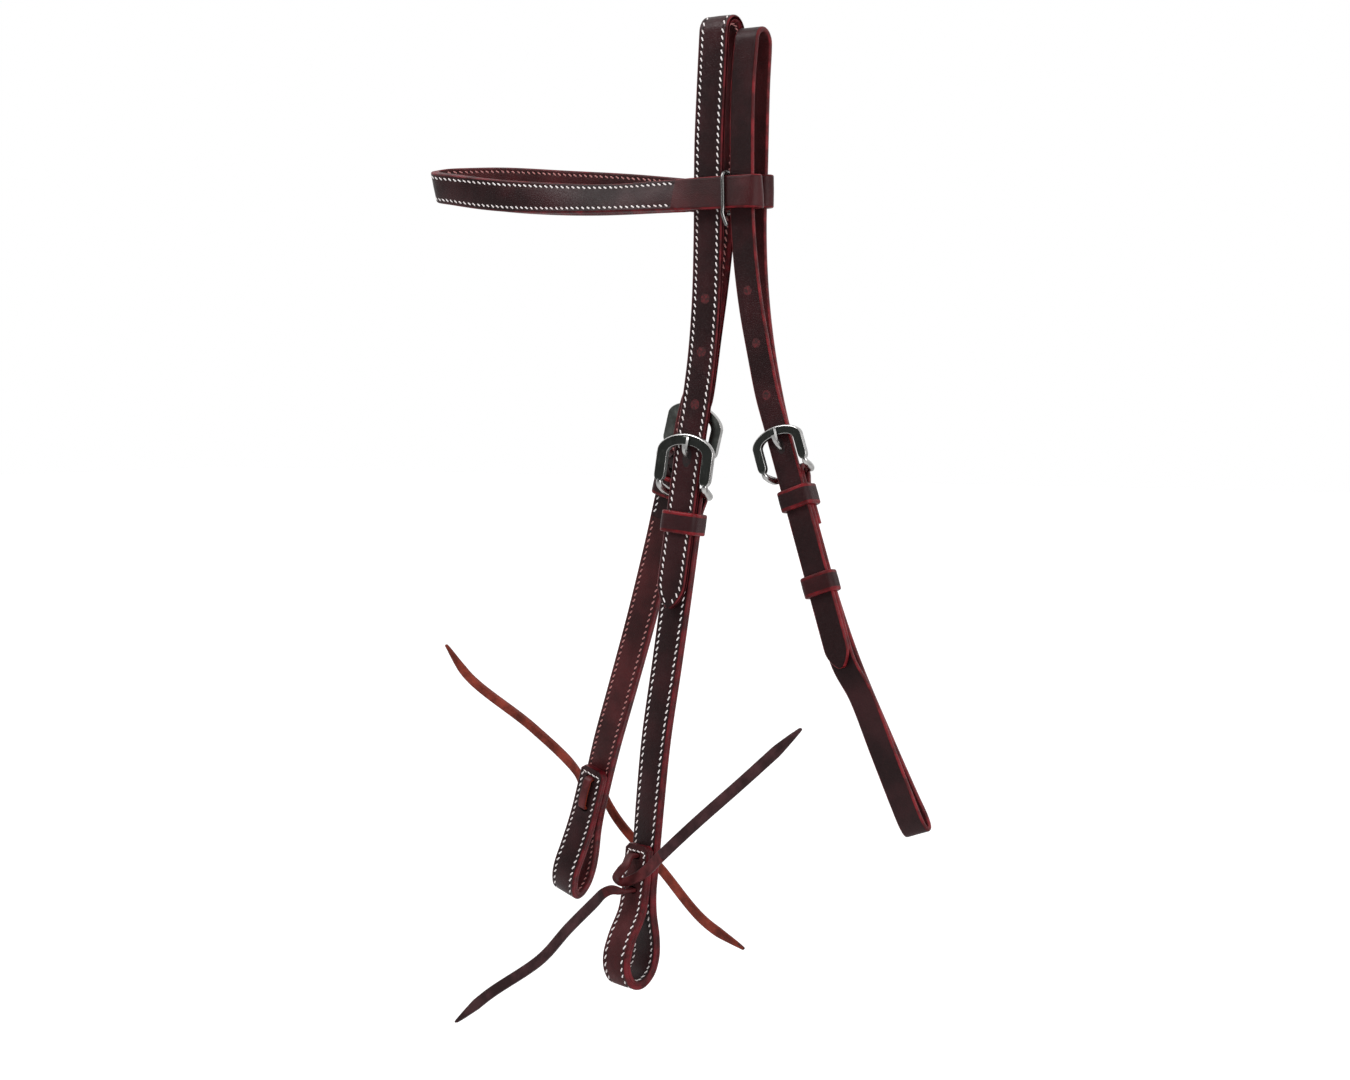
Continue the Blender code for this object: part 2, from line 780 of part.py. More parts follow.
def cheek(side, sign, start, end, shares, loop, length, swell):
    """One cheek: folded round its buckle's bar, doubled, and looped at the bit end."""
    loop_top, down, out = loop_axes(loop)
    across = np.array([1.0 * sign, 0.0, 0.0])
    hole = tongue_hole(start, end)
    layers = PLY + PLY_GAP / 2
    front = -(layers + LAYER_GAP + PLY / 2)
    back = front - PLY - PLY_GAP
    radius = BAR_RADIUS + PLY_GAP + PLY / 2
    bar_out = front - radius
    seat = Seat(hole, start - end, across, BAR_TO_HOLE, bar_out)
    middle = (front + back) / 2
    lateral = np.cross(out, down)
    turned_back = 2 * layers + LAYER_GAP
    points = [seat.at(0.0, middle, -CHAPE_LENGTH * share) for share in (0.2, 0.6, 1.0, 1.35)]
    sides = [seat.side] * len(points)
    table = list(spans(shares))
    for i, place in enumerate(table):
        points.append(place)
        share = (i + 1) / (len(table) + 1)
        sides.append(unit(seat.side * (1 - share) + lateral * sign * share))
    for along_share, out_share in LOOP_SHARES:
        points.append(loop_top + down * length * along_share + out * swell * out_share)
        sides.append(lateral * sign)
    for along_share in LOOP_RETURN_SHARES:
        reach = turned_back + swell * 0.14 * max(0.0, (along_share - 0.33) / 0.16)
        points.append(loop_top + down * length * along_share + out * reach)
        sides.append(lateral * sign)
    route = Route(points, sides)
    bottom_share = max(LOOP_SHARES)
    bottom = loop_top + down * length * bottom_share[0] + out * swell * bottom_share[1]
    seat_at = route.nearest(bottom)
    outward = -(PLY + PLY_GAP) / 2
    butt = route.nearest(seat.at(0.0, middle, -CHAPE_LENGTH - PLY_GAP))
    doubled = route.stations(butt, route.length, (seat_at,))
    size = (STRAP_WIDTH, PLY)
    grain = BLACK_CHERRY if side == "near" else CHESTNUT
    lining = strap(f"{side}_cheek_lining", route.rings(doubled, -outward), size, grain)
    rows = chape_rows(bar_out, radius, front, back, CHAPE_LENGTH)
    chape = Route([seat.at(0.0, a, b) for a, b in rows], seat.side)
    fold = chape.rings(chape.stations(0.0, chape.length))
    outer = strap(
        f"{side}_cheek_outer", fold + route.rings(doubled, outward), size, BLACK_CHERRY
    )
    slot_front = radius + (PLY + LAYER_GAP) / 2
    slot = box_cutter(
        f"{side}_chape_slot",
        seat.matrix(seat.at(0.0, bar_out, 0.0)),
        (-CHAPE_SLOT_WIDTH / 2, -radius * 3, -CHAPE_SLOT_DEPTH * 0.55),
        (CHAPE_SLOT_WIDTH / 2, slot_front, CHAPE_SLOT_DEPTH * 0.45),
    )
    cut(outer, slot)
    for i, share in enumerate(LACE_HOLE_SHARES):
        point = loop_top + down * LOOP_LENGTH * share + out * turned_back / 2
        place = (point, down, lateral, out)
        punch = hole_cutter(
            f"{side}_lace_punch_{i}", place, LACE_SLOT_WIDTH, LACE_SLOT_HEIGHT, PLY * 7
        )
        cut(outer, punch)
        cut(lining, punch)
    rail_front = layers + LAYER_GAP
    size = (BAR_TO_RAIL, RAIL_WIDTH, FRAME_WIDTH, OPENING_WIDTH, RAIL_ARCH_RISE, RAIL_FOOT)
    buckle_frame(
        f"{side}_cheek_buckle_frame",
        seat,
        size,
        bar_out,
        rail_front,
        BAR_RADIUS,
    )
    buckle_tongue(
        f"{side}_cheek_buckle_tongue",
        seat,
        bar_out,
        BAR_RADIUS,
        BAR_TO_HOLE,
        BAR_TO_RAIL,
        rail_front,
        BAR_TO_RAIL + RAIL_WIDTH * 0.72,
    )
    keeper(
        f"{side}_cheek_keeper",
        seat,
        -KEEPER_BELOW_BAR,
        back - PLY / 2,
        layers,
        STRAP_WIDTH,
        KEEPER_HEIGHT,
        BLACK_CHERRY,
    )
    return seat


def loop_points(sign, front, end, z, edge, lean, start):
    """One end loop, from its sewn-down end behind the straps round to its front."""
    middle = (front + LOOP_BACK) / 2
    bend = (front - LOOP_BACK) / 2
    table = (
        (-edge - PLY * 1.9, LOOP_BACK + PLY * 2.1, lean * 0.7),
        (-edge - PLY * 1.15, LOOP_BACK + PLY * 0.55, lean * 0.3),
        (-edge + PLY * 0.2, LOOP_BACK - PLY * 0.12, 0.0),
        (0.0, LOOP_BACK, 0.0),
        (end * 0.40, LOOP_BACK, 0.0),
        (end - bend * 1.4, LOOP_BACK, 0.0),
        (end - bend * 0.42, middle - bend * 0.76, lean * 0.25),
        (end, middle, lean * 0.5),
        (end - bend * 0.42, middle + bend * 0.76, lean * 0.75),
        (end - bend * 1.4, front, lean),
        (end * 0.40, front, lean),
        (0.0, front, lean),
        (-edge - PLY * 0.5, front, lean * 1.2),
    )
    points = [place for place, _, _ in start]
    sides = [side for _, side, _ in start]
    table_points = [(x, sign * y, -z) for x, y, _ in table]
    leans = [-sign * degrees for _, _, degrees in table]
    return points + table_points, sides + leaning(table_points, leans)


def browband():
    """A doubled band whose outer ply runs on as a single loop round the straps at each end."""
    offset = (PLY + PLY_GAP) / 2
    table = spans(BROWBAND_SHARES)
    middle = Route(table, leaning(table, BROWBAND_LEAN_DEG))
    sewn = BAND_SEWN_END
    far_end = middle.length
    doubled = middle.stations(0.0, far_end)
    low = sewn + PLY_GAP
    high = far_end - sewn - PLY_GAP
    doubled = [s for s in doubled if min(abs(s - low), abs(s - high)) > PLY] + [low, high]
    doubled.sort()
    lined = [s for s in doubled if low <= s <= high]
    near_start = middle.rings([sewn, sewn / 2, 0.0], -offset)
    far_start = middle.rings([far_end - sewn, far_end - sewn / 2, far_end], -offset)
    near = loop_points(
        -1,
        NEAR_LOOP_FRONT,
        NEAR_LOOP_END,
        NEAR_LOOP_Z,
        NEAR_LOOP_EDGE,
        NEAR_LOOP_LEAN_DEG,
        near_start,
    )
    far = loop_points(1, FAR_LOOP_FRONT, FAR_LOOP_END, FAR_LOOP_Z, FAR_LOOP_EDGE, 0, far_start)
    band = middle.rings(doubled, offset)
    rings = []
    for places, sides, joined in (near + (band[0],), far + (band[-1],)):
        route = Route(list(places) + [joined[0]], list(sides) + [joined[1]])
        loop = route.rings(route.stations(0.0, route.length))
        rings.append(loop[:-1])
    far_rings = [(point, side, -out) for point, side, out in rings[1][::-1]]
    size = (STRAP_WIDTH, PLY)
    outer = strap("browband_outer", rings[0] + band + far_rings, size, BLACK_CHERRY)
    lining = strap("browband_lining", middle.rings(lined, -offset), size, CHESTNUT)
    origin_to(outer, (0.0, 0.0, -NEAR_LOOP_Z))
    origin_to(lining, (0.0, 0.0, -NEAR_LOOP_Z))


def leaning(points, degrees):
    """Width directions near to vertical, leaning over by these angles about the route."""
    points = np.array(points, float)
    along = np.gradient(points, axis=0)
    sides = []
    for direction, angle in zip(along, degrees):
        direction = unit(direction)
        up = np.array([0.0, 0.0, 1.0])
        up = unit(up - direction * (up @ direction))
        sides.append(turned(up, direction, angle))
    return sides


def divider(name, sign, x, front, z, lean, turn):
    """A wire bent round both layers of a loop, with one end left hanging below."""
    r = DIVIDER_WIRE_RADIUS
    reach = STRAP_WIDTH / 2 + PLY_GAP + r
    tilt = reach * math.sin(math.radians(lean))
    face = front + PLY / 2 + PLY_GAP + r
    rear = LOOP_BACK - PLY / 2 - PLY_GAP - r
    corner = r * 1.2
    rows = (
        (x + DIVIDER_LEG * 0.36, face + tilt - r, -z - reach - DIVIDER_LEG),
        (x + r * 0.5, face + tilt, -z - reach - r),
        (x + tilt * 0.8, face + tilt * 0.9, -z - reach + corner),
        (x, face, -z),
        (x - tilt * 0.8, face - tilt + r * 0.1, -z + reach - corner),
        (x, face - tilt - corner, -z + reach),
        (x, rear + corner, -z + reach),
        (x, rear, -z + reach - corner),
        (x, rear, -z - reach + corner),
        (x, rear + corner, -z - reach),
        (x, rear + corner * 3, -z - reach),
    )
    middle = (front + LOOP_BACK) / 2
    places = [(a + (b - middle) * turn, sign * b, c) for a, b, c in rows]
    bm = solid_from_curve(name, tube_curve(name, places, r), Matrix())
    wire = mesh_object(name, bm, BRIGHT_STEEL, PARTS)
    origin_to(wire, (0.0, 0.0, -z))


def throatlatch():
    """One strap from its buckle down, up the far side, over the top and back to its billet."""
    t = THROAT_THICKNESS
    start = spans(THROAT_BILLET_START_SHARES)
    end = spans(THROAT_BILLET_END_SHARES)
    direction = unit(end - start)
    hole = start + direction * THROAT_HOLE_FROM_START
    front = -(t + LAYER_GAP)
    back = front - t - LAYER_GAP
    radius = THROAT_BAR_RADIUS + PLY_GAP + t / 2
    bar_out = front - radius
    seat = Seat(hole, start - end, np.array([1.0, 0.0, 0.0]), THROAT_BAR_TO_HOLE, bar_out)
    rows = chape_rows(bar_out, radius, front, back, THROAT_CHAPE_LENGTH)
    points = [seat.at(0.0, a, b) for a, b in rows]
    reach = np.linalg.norm(end - hole) - THROAT_BAR_TO_HOLE
    points += [seat.at(0.0, front, -reach * share) for share in (0.45, 0.70, 0.97)]
    sides = [seat.side] * len(points)
    lower = list(spans(THROAT_LOWER_SHARES))
    points += lower
    upright = np.array([1.0, 0.0, 0.0])
    for place in lower:
        share = np.clip((place[2] - lower[8][2]) / (lower[-3][2] - lower[8][2]), 0.0, 1.0)
        share = share if len(sides) > len(rows) + 3 + 6 else 0.0
        sides.append(unit(seat.side * (1 - share) + upright * share))
    centre = -t / 2 - THROAT_ARCH_RADIUS - THROAT_TOP_DROP
    for degrees in range(180, -1, -20):
        angle = math.radians(degrees)
        points.append(
            (
                THROAT_X,
                -THROAT_ARCH_RADIUS * math.cos(angle),
                centre + THROAT_ARCH_RADIUS * math.sin(angle),
            )
        )
        sides.append(upright)
    near = list(spans(THROAT_NEAR_SHARES))
    points += near
    sides += [upright] * len(near)
    billet = [start + (end - start) * share for share in (0.0, 0.12, 0.3, 0.6, 1.0)]
    points += billet
    sides += [seat.side] * len(billet)
    route = Route(points, sides)
    stations = route.stations(0.0, route.length)
    width_at = pointed(-route.length, route.length, THROAT_WIDTH, THROAT_POINT)
    ends = [route.length - THROAT_POINT * share for share in (0.12, 0.30, 0.55, 0.78, 1.0)]
    stations = [s for s in stations if s < route.length - THROAT_POINT] + ends[::-1]
    stations.append(route.length)
    widths = [width_at(s) for s in stations]
    latch = strap("throatlatch", route.rings(stations), (THROAT_WIDTH, t), BLACK_CHERRY, widths)
    origin_to(latch, (THROAT_X, 0.0, -THROAT_TOP_DROP))
    s_hole = route.length - np.linalg.norm(end - hole)
    for i in range(4):
        length = TONGUE_HOLE_LENGTH * 0.8 if i == 0 else HOLE_DIAMETER * 0.9
        punch = hole_cutter(
            f"throat_punch_{i}",
            route.frame(s_hole - i * HOLE_PITCH),
            HOLE_DIAMETER * 0.9,
            length,
            t * 2,
        )
        cut(latch, punch)
    slot_front = radius + (t + LAYER_GAP) / 2
    slot = box_cutter(
        "throat_chape_slot",
        seat.matrix(seat.at(0.0, bar_out, 0.0)),
        (-CHAPE_SLOT_WIDTH / 2, -radius * 3, -CHAPE_SLOT_DEPTH * 0.5),
        (CHAPE_SLOT_WIDTH / 2, slot_front, CHAPE_SLOT_DEPTH * 0.4),
    )
    cut(latch, slot)
    rail_front = t / 2 + LAYER_GAP
    size = (
        THROAT_BAR_TO_RAIL,
        THROAT_RAIL_WIDTH,
        THROAT_FRAME_WIDTH,
        THROAT_OPENING_WIDTH,
        RAIL_ARCH_RISE * 0.8,
        RAIL_FOOT * 0.8,
    )
    buckle_frame(
        "throat_buckle_frame",
        seat,
        size,
        bar_out,
        rail_front,
        THROAT_BAR_RADIUS,
    )
    buckle_tongue(
        "throat_buckle_tongue",
        seat,
        bar_out,
        THROAT_BAR_RADIUS,
        THROAT_BAR_TO_HOLE,
        THROAT_BAR_TO_RAIL,
        rail_front,
        THROAT_BAR_TO_RAIL + THROAT_RAIL_WIDTH * 0.72,
    )
    keeper(
        "throat_fixed_keeper",
        seat,
        -THROAT_FIXED_BELOW_BAR,
        back - t / 2,
        t / 2,
        THROAT_WIDTH,
        THROAT_KEEPER_HEIGHT,
        BLACK_CHERRY,
    )
    keeper(
        "throat_sliding_keeper",
        seat,
        THROAT_BAR_TO_HOLE - THROAT_SLIDING_BELOW_HOLE,
        front - t / 2,
        t / 2,
        THROAT_WIDTH,
        THROAT_KEEPER_HEIGHT,
        STRAP_RED,
    )
    return seat


def lace(name, loop, shares, degrees):
    """A flat thong laid through both lace holes and half knotted, with two pointed tails."""
    top, down, out = loop_axes(loop)
    lateral = np.cross(out, down)
    places = []
    sides = []
    for (across, facing, along), angle in zip(spans(shares), degrees):
        turn = math.radians(angle)
        places.append(top + lateral * across + out * facing + down * along)
        sides.append(lateral * math.cos(turn) - down * math.sin(turn))
    route = Route(places, sides)
    knot = route.length / 2

    def width_at(s):
        left = min(s, route.length - s)
        if left < LACE_POINT:
            return LACE_TIP_WIDTH + (LACE_WIDTH - LACE_TIP_WIDTH) * (left / LACE_POINT) ** 0.8
        near_knot = max(0.0, 1 - abs(s - knot) / (LACE_POINT * 3))
        return LACE_WIDTH - (LACE_WIDTH - LACE_KNOT_WIDTH) * min(1.0, near_knot * 3)

    stations = route.stations(0.0, route.length)
    ends = [LACE_POINT * share for share in (0.15, 0.4, 0.7, 1.0)]
    kept = [s for s in stations if LACE_POINT < s < route.length - LACE_POINT]
    stations = sorted([0.0, route.length] + ends + [route.length - s for s in ends] + kept)
    widths = [width_at(s) for s in stations]
    size = (LACE_WIDTH, LACE_THICKNESS)
    strap(name, route.rings(stations), size, LACE_RED, widths)


def loop_axes(loop):
    """Where a bit loop's turned-back end lies, down along the strap and out to the camera side."""
    top_shares, down_shares, out_shares = loop
    down = unit(down_shares)
    out = unit(out_shares - down * (np.array(out_shares) @ down))
    return spans(top_shares), down, out


clear_scene()
PARTS = collection("western_headstall")
CUTTERS = collection("western_headstall_cutters")
NEAR_LOOP = (NEAR_LOOP_TOP_SHARES, NEAR_LOOP_DOWN_SHARES, NEAR_LOOP_OUT_SHARES)
FAR_LOOP = (FAR_LOOP_TOP_SHARES, FAR_LOOP_DOWN_SHARES, FAR_LOOP_OUT_SHARES)
crown()
NEAR_SEAT = cheek(
    "near",
    1,
    spans(NEAR_BILLET_START_SHARES),
    spans(NEAR_BILLET_END_SHARES),
    NEAR_CHEEK_SHARES,
    NEAR_LOOP,
    LOOP_LENGTH,
    LOOP_SWELL,
)
FAR_SEAT = cheek(
    "far",
    -1,
    spans(FAR_BILLET_START_SHARES),
    spans(FAR_BILLET_END_SHARES),
    FAR_CHEEK_SHARES,
    FAR_LOOP,
    FAR_LOOP_LENGTH,
    FAR_LOOP_SWELL,
)
browband()
divider(
    "near_browband_divider",
    -1,
    DIVIDER_X,
    NEAR_LOOP_FRONT,
    NEAR_LOOP_Z,
    NEAR_LOOP_LEAN_DEG,
    DIVIDER_TURN_SHARE,
)
divider("far_browband_divider", 1, DIVIDER_FAR_X, FAR_LOOP_FRONT, FAR_LOOP_Z, 0, 0)
THROAT_SEAT = throatlatch()
lace("near_lace", NEAR_LOOP, NEAR_LACE_SHARES, NEAR_LACE_ACROSS_DEG)
lace("far_lace", FAR_LOOP, FAR_LACE_SHARES, FAR_LACE_ACROSS_DEG)
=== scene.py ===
"""Dresses the western headstall: sewn leather plies, thread, steel, laces and the studio round them.

Everything is in metres, +Z up, with the horse facing -X and its near side towards -Y."""

import math

import bmesh
import bpy
import numpy as np
from bpy.props import FloatProperty, FloatVectorProperty, PointerProperty
from bpy.types import Operator, Panel, PropertyGroup
from mathutils import Matrix, Vector


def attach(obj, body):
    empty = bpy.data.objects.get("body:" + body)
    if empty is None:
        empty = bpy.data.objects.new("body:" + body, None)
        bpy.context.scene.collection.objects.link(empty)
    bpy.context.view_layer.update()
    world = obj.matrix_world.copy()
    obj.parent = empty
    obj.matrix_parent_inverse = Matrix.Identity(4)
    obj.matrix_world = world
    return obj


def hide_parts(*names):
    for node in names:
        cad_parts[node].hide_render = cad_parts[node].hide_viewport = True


bl_info = {
    "name": "Western Headstall",
    "version": (1, 0, 0),
    "blender": (4, 5, 0),
    "location": "3D View > Sidebar > Headstall",
    "description": "Sewn leather, thread, steel and laces of a hanging western headstall",
    "category": "Object",
}

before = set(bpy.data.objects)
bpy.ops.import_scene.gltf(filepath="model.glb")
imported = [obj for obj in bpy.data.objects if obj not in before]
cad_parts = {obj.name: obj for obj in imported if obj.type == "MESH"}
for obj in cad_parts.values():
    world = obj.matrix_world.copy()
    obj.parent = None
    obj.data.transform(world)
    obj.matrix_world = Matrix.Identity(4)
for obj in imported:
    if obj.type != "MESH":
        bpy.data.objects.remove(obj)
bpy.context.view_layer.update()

STRAP_WIDTH = 0.0159
PLY = 0.0020
PLY_GAP = 0.0004
LAYER_GAP = 0.0003
HOLE_DIAMETER = 0.0045
HOLE_PITCH = 0.0256
TONGUE_HOLE_LENGTH = 0.0086
HOLES_PER_BILLET = 4
HOLE_SIDES = 20
HOLE_MOUTH = 0.00060
HOLE_LIP = 0.00028
HOLE_LIP_DEPTH = 0.00045
BILLET_POINT = 0.0125
POINT_WIDTH = 0.0026
POINT_STEP_SHARES = (0.06, 0.15, 0.28, 0.42, 0.58, 0.75, 1.0)
SEAT_LENGTH = 0.0040

THROAT_WIDTH = 0.0127
THROAT_THICKNESS = 0.0026
THROAT_POINT = 0.0100
THROAT_ARCH_RADIUS = 0.0062
THROAT_X = 0.0174
THROAT_TOP_DROP = 0.0024

ARCH_INNER_RADIUS = 0.00435
ROUTE_SPAN = 0.1000

NEAR_BILLET_START_SHARES = (-0.0761, -0.145, -1.962)
NEAR_BILLET_END_SHARES = (-0.1558, -0.226, -2.8024)
FAR_BILLET_START_SHARES = (-0.2222, 0.11, -1.8207)
FAR_BILLET_END_SHARES = (-0.5049, 0.19, -2.709)
NEAR_LEG_SHARES = (
    (-0.0605, -0.13, -1.829),
    (-0.0384, -0.107, -1.5839),
    (-0.0279, -0.087, -1.3109),
    (-0.0255, -0.0765, -1.0278),
    (-0.0205, -0.0765, -0.5667),
    (-0.0105, -0.0735, -0.3157),
)
FAR_LEG_SHARES = (
    (-0.0208, 0.0735, -0.3158),
    (-0.0389, 0.0765, -0.5668),
    (-0.0719, 0.0765, -1.0278),
    (-0.0977, 0.082, -1.2097),
    (-0.1444, 0.096, -1.4527),
    (-0.2043, 0.107, -1.78),
)

BAR_RADIUS = 0.0013
BAR_TO_HOLE = 0.0174
BAR_TO_RAIL = 0.0236
RAIL_WIDTH = 0.0054
RAIL_THICKNESS = 0.0025
FRAME_WIDTH = 0.0320
OPENING_WIDTH = 0.0205
RAIL_ARCH_RISE = 0.0100
RAIL_FOOT = 0.0046
CHAPE_LENGTH = 0.0310
CHAPE_SLOT_WIDTH = 0.0050
CHAPE_SLOT_DEPTH = 0.0115
CHAPE_SLOT_DROP_SHARE = 0.05
TONGUE_WIDTH = 0.0027
TONGUE_THICKNESS = 0.0010

THROAT_BAR_RADIUS = 0.0011
THROAT_BAR_TO_HOLE = 0.0140
THROAT_BAR_TO_RAIL = 0.0190
THROAT_RAIL_WIDTH = 0.0044
THROAT_FRAME_WIDTH = 0.0272
THROAT_OPENING_WIDTH = 0.0184
THROAT_CHAPE_LENGTH = 0.0260

KEEPER_HEIGHT = 0.0105
KEEPER_LEATHER = 0.0020
KEEPER_PLAY = 0.0003
KEEPER_BELOW_BAR = 0.0140
THROAT_FIXED_BELOW_BAR = 0.0118
THROAT_SLIDING_BELOW_HOLE = 0.0682
THROAT_KEEPER_HEIGHT = 0.0100

NEAR_CHEEK_SHARES = (
    (-0.1791, -0.206, -3.0514),
    (-0.2125, -0.258, -3.4428),
    (-0.2267, -0.288, -3.7355),
)
NEAR_LOOP_TOP_SHARES = (-0.2307, -0.314, -3.9505)
NEAR_LOOP_DOWN_SHARES = (-0.060, -0.070, -1.000)
NEAR_LOOP_OUT_SHARES = (-0.208, -0.978, 0.000)
FAR_CHEEK_SHARES = (
    (-0.5719, 0.152, -2.9006),
    (-0.7145, 0.178, -3.2918),
    (-0.8228, 0.208, -3.5624),
)
FAR_LOOP_TOP_SHARES = (-0.8843, 0.236, -3.7126)
FAR_LOOP_DOWN_SHARES = (-0.292, 0.040, -0.958)
FAR_LOOP_OUT_SHARES = (-0.120, -0.993, 0.000)
LOOP_LENGTH = 0.0675
LOOP_SWELL = 0.0100
LOOP_CORNER = 0.0022
LOOP_SEAM = 0.0030
LOOP_SEAM_STITCHES = 4
LOOP_SEAM_SPACING = 0.0029
FAR_LOOP_LENGTH = 0.0702
FAR_LOOP_SWELL = 0.0066
LOOP_SHARES = (
    (0.00, 0.00),
    (0.16, 0.00),
    (0.33, 0.00),
    (0.49, -0.15),
    (0.67, -0.50),
    (0.81, -0.60),
    (0.92, -0.40),
    (0.985, 0.04),
    (1.000, 0.44),
    (0.978, 0.88),
    (0.90, 1.26),
    (0.80, 1.36),
    (0.66, 1.12),
)
LOOP_RETURN_SHARES = (0.49, 0.36, 0.20, 0.00)
LACE_HOLE_SHARES = (0.075, 0.325)
LACE_SLOT_WIDTH = 0.0062
LACE_SLOT_HEIGHT = 0.0037

BROWBAND_SHARES = (
    (-0.195, -0.1180, -0.812),
    (-0.635, -0.1170, -0.809),
    (-1.102, -0.1110, -0.773),
    (-1.383, -0.1010, -0.739),
    (-1.594, -0.0880, -0.705),
    (-1.698, -0.0640, -0.688),
    (-1.736, -0.0280, -0.675),
    (-1.741, 0.0100, -0.668),
    (-1.717, 0.0520, -0.660),
    (-1.622, 0.0880, -0.658),
    (-1.385, 0.1040, -0.668),
    (-1.000, 0.1090, -0.705),
    (-0.600, 0.1060, -0.745),
    (-0.240, 0.1000, -0.790),
)
BROWBAND_LEAN_DEG = (18, 26, 6, -8, -15, -16, -10, -6, -3, 0, 0, 0, 0, 0)
NEAR_LOOP_END = 0.0264
FAR_LOOP_END = 0.0228
NEAR_LOOP_Z = 0.0808
FAR_LOOP_Z = 0.0795
NEAR_LOOP_FRONT = 0.0129
FAR_LOOP_FRONT = 0.0112
NEAR_LOOP_LEAN_DEG = 11
LOOP_BACK = 0.0042
NEAR_LOOP_EDGE = 0.0100
FAR_LOOP_EDGE = 0.0143
BAND_SEWN_END = 0.0050
DIVIDER_X = 0.0078
DIVIDER_FAR_X = 0.0060
DIVIDER_WIRE_RADIUS = 0.0009
DIVIDER_LEG = 0.0075
DIVIDER_TURN_SHARE = 0.30

THROAT_NEAR_SHARES = (
    (0.1589, -0.067, -0.2991),
    (0.1562, -0.072, -0.6562),
    (0.1662, -0.075, -0.9993),
    (0.2122, -0.087, -1.3207),
    (0.2738, -0.097, -1.5919),
)
THROAT_BILLET_START_SHARES = (0.3197, -0.105, -1.768)
THROAT_BILLET_END_SHARES = (0.779, -0.199, -3.0348)
THROAT_HOLE_FROM_START = 0.0262
THROAT_LOWER_SHARES = (
    (0.8541, -0.152, -3.1588),
    (0.9472, -0.108, -3.4225),
    (1.0321, -0.062, -3.6683),
    (1.063, -0.036, -3.7632),
    (1.0748, -0.012, -3.7982),
    (1.0749, 0.012, -3.7942),
    (1.0571, 0.022, -3.7532),
    (1.0072, 0.012, -3.6483),
    (0.8924, -0.012, -3.3985),
    (0.6966, -0.01, -2.9996),
    (0.4913, 0.02, -2.5007),
    (0.295, 0.052, -1.9651),
    (0.2015, 0.066, -1.5999),
    (0.1569, 0.072, -1.2997),
    (0.1413, 0.072, -0.9993),
    (0.1488, 0.072, -0.6562),
    (0.1608, 0.067, -0.2991),
)

LACE_WIDTH = 0.0055
LACE_THICKNESS = 0.0018
LACE_KNOT_WIDTH = 0.0044
LACE_POINT = 0.0170
LACE_TIP_WIDTH = 0.0012
NEAR_LACE_SHARES = (
    (0.907, -0.013, -0.701),
    (0.631, 0.030, -0.422),
    (0.372, 0.072, -0.166),
    (0.189, 0.088, 0.016),
    (0.097, 0.083, 0.105),
    (0.019, 0.087, 0.16),
    (-0.035, 0.108, 0.185),
    (-0.047, 0.138, 0.168),
    (-0.018, 0.148, 0.128),
    (0.006, 0.138, 0.092),
    (0.002, 0.114, 0.056),
    (0.000, 0.085, 0.0506),
    (0.000, 0.020, 0.0506),
    (0.000, -0.032, 0.054),
    (0.000, -0.040, 0.096),
    (0.000, -0.039, 0.17),
    (0.000, -0.032, 0.214),
    (0.000, 0.020, 0.2194),
    (0.000, 0.082, 0.2194),
    (-0.008, 0.128, 0.226),
    (-0.037, 0.173, 0.219),
    (-0.076, 0.187, 0.241),
    (-0.141, 0.185, 0.303),
    (-0.294, 0.198, 0.463),
    (-0.450, 0.215, 0.645),
    (-0.765, 0.264, 0.895),
    (-0.960, 0.293, 1.077),
)
NEAR_LACE_ACROSS_DEG = (
    311, 311, 311, 311, 308, 298, 260, 200, 155, 172, 180, 180, 180, 180,
    180, 180, 180, 180, 182, 205, 250, 276, 306, 316, 318, 304, 312,
)
FAR_LACE_SHARES = (
    (-1.272, -0.006, -0.194),
    (-1.071, -0.026, -0.08),
    (-0.574, -0.068, 0.024),
    (-0.216, -0.080, 0.131),
    (-0.096, -0.053, 0.209),
    (-0.018, -0.048, 0.2194),
    (0.000, -0.015, 0.2194),
    (0.000, 0.047, 0.2194),
    (0.000, 0.081, 0.211),
    (0.000, 0.088, 0.178),
    (0.000, 0.088, 0.092),
    (0.000, 0.081, 0.059),
    (0.000, 0.050, 0.0506),
    (0.000, 0.000, 0.0506),
    (0.000, -0.034, 0.0506),
    (-0.012, -0.080, 0.064),
    (-0.028, -0.106, 0.12),
    (-0.030, -0.118, 0.187),
    (0.028, -0.126, 0.247),
    (0.129, -0.143, 0.315),
    (0.404, -0.174, 0.432),
    (0.720, -0.205, 0.582),
    (0.990, -0.234, 0.622),
)
FAR_LACE_ACROSS_DEG = (
    40, 58, 57, 52, 40, 15, 0, 0, 0, 0, 0, 0, 0, 0, 0, 0, -8, 0, 25, 40, 44, 50, 62,
)

SAMPLES = 24


def spans(shares):
    return np.array(shares, float) * ROUTE_SPAN


def unit(vector):
    vector = np.array(vector, float)
    return vector / np.linalg.norm(vector)


def turned(vector, axis, degrees):
    angle = math.radians(degrees)
    return vector * math.cos(angle) + np.cross(axis, vector) * math.sin(angle)


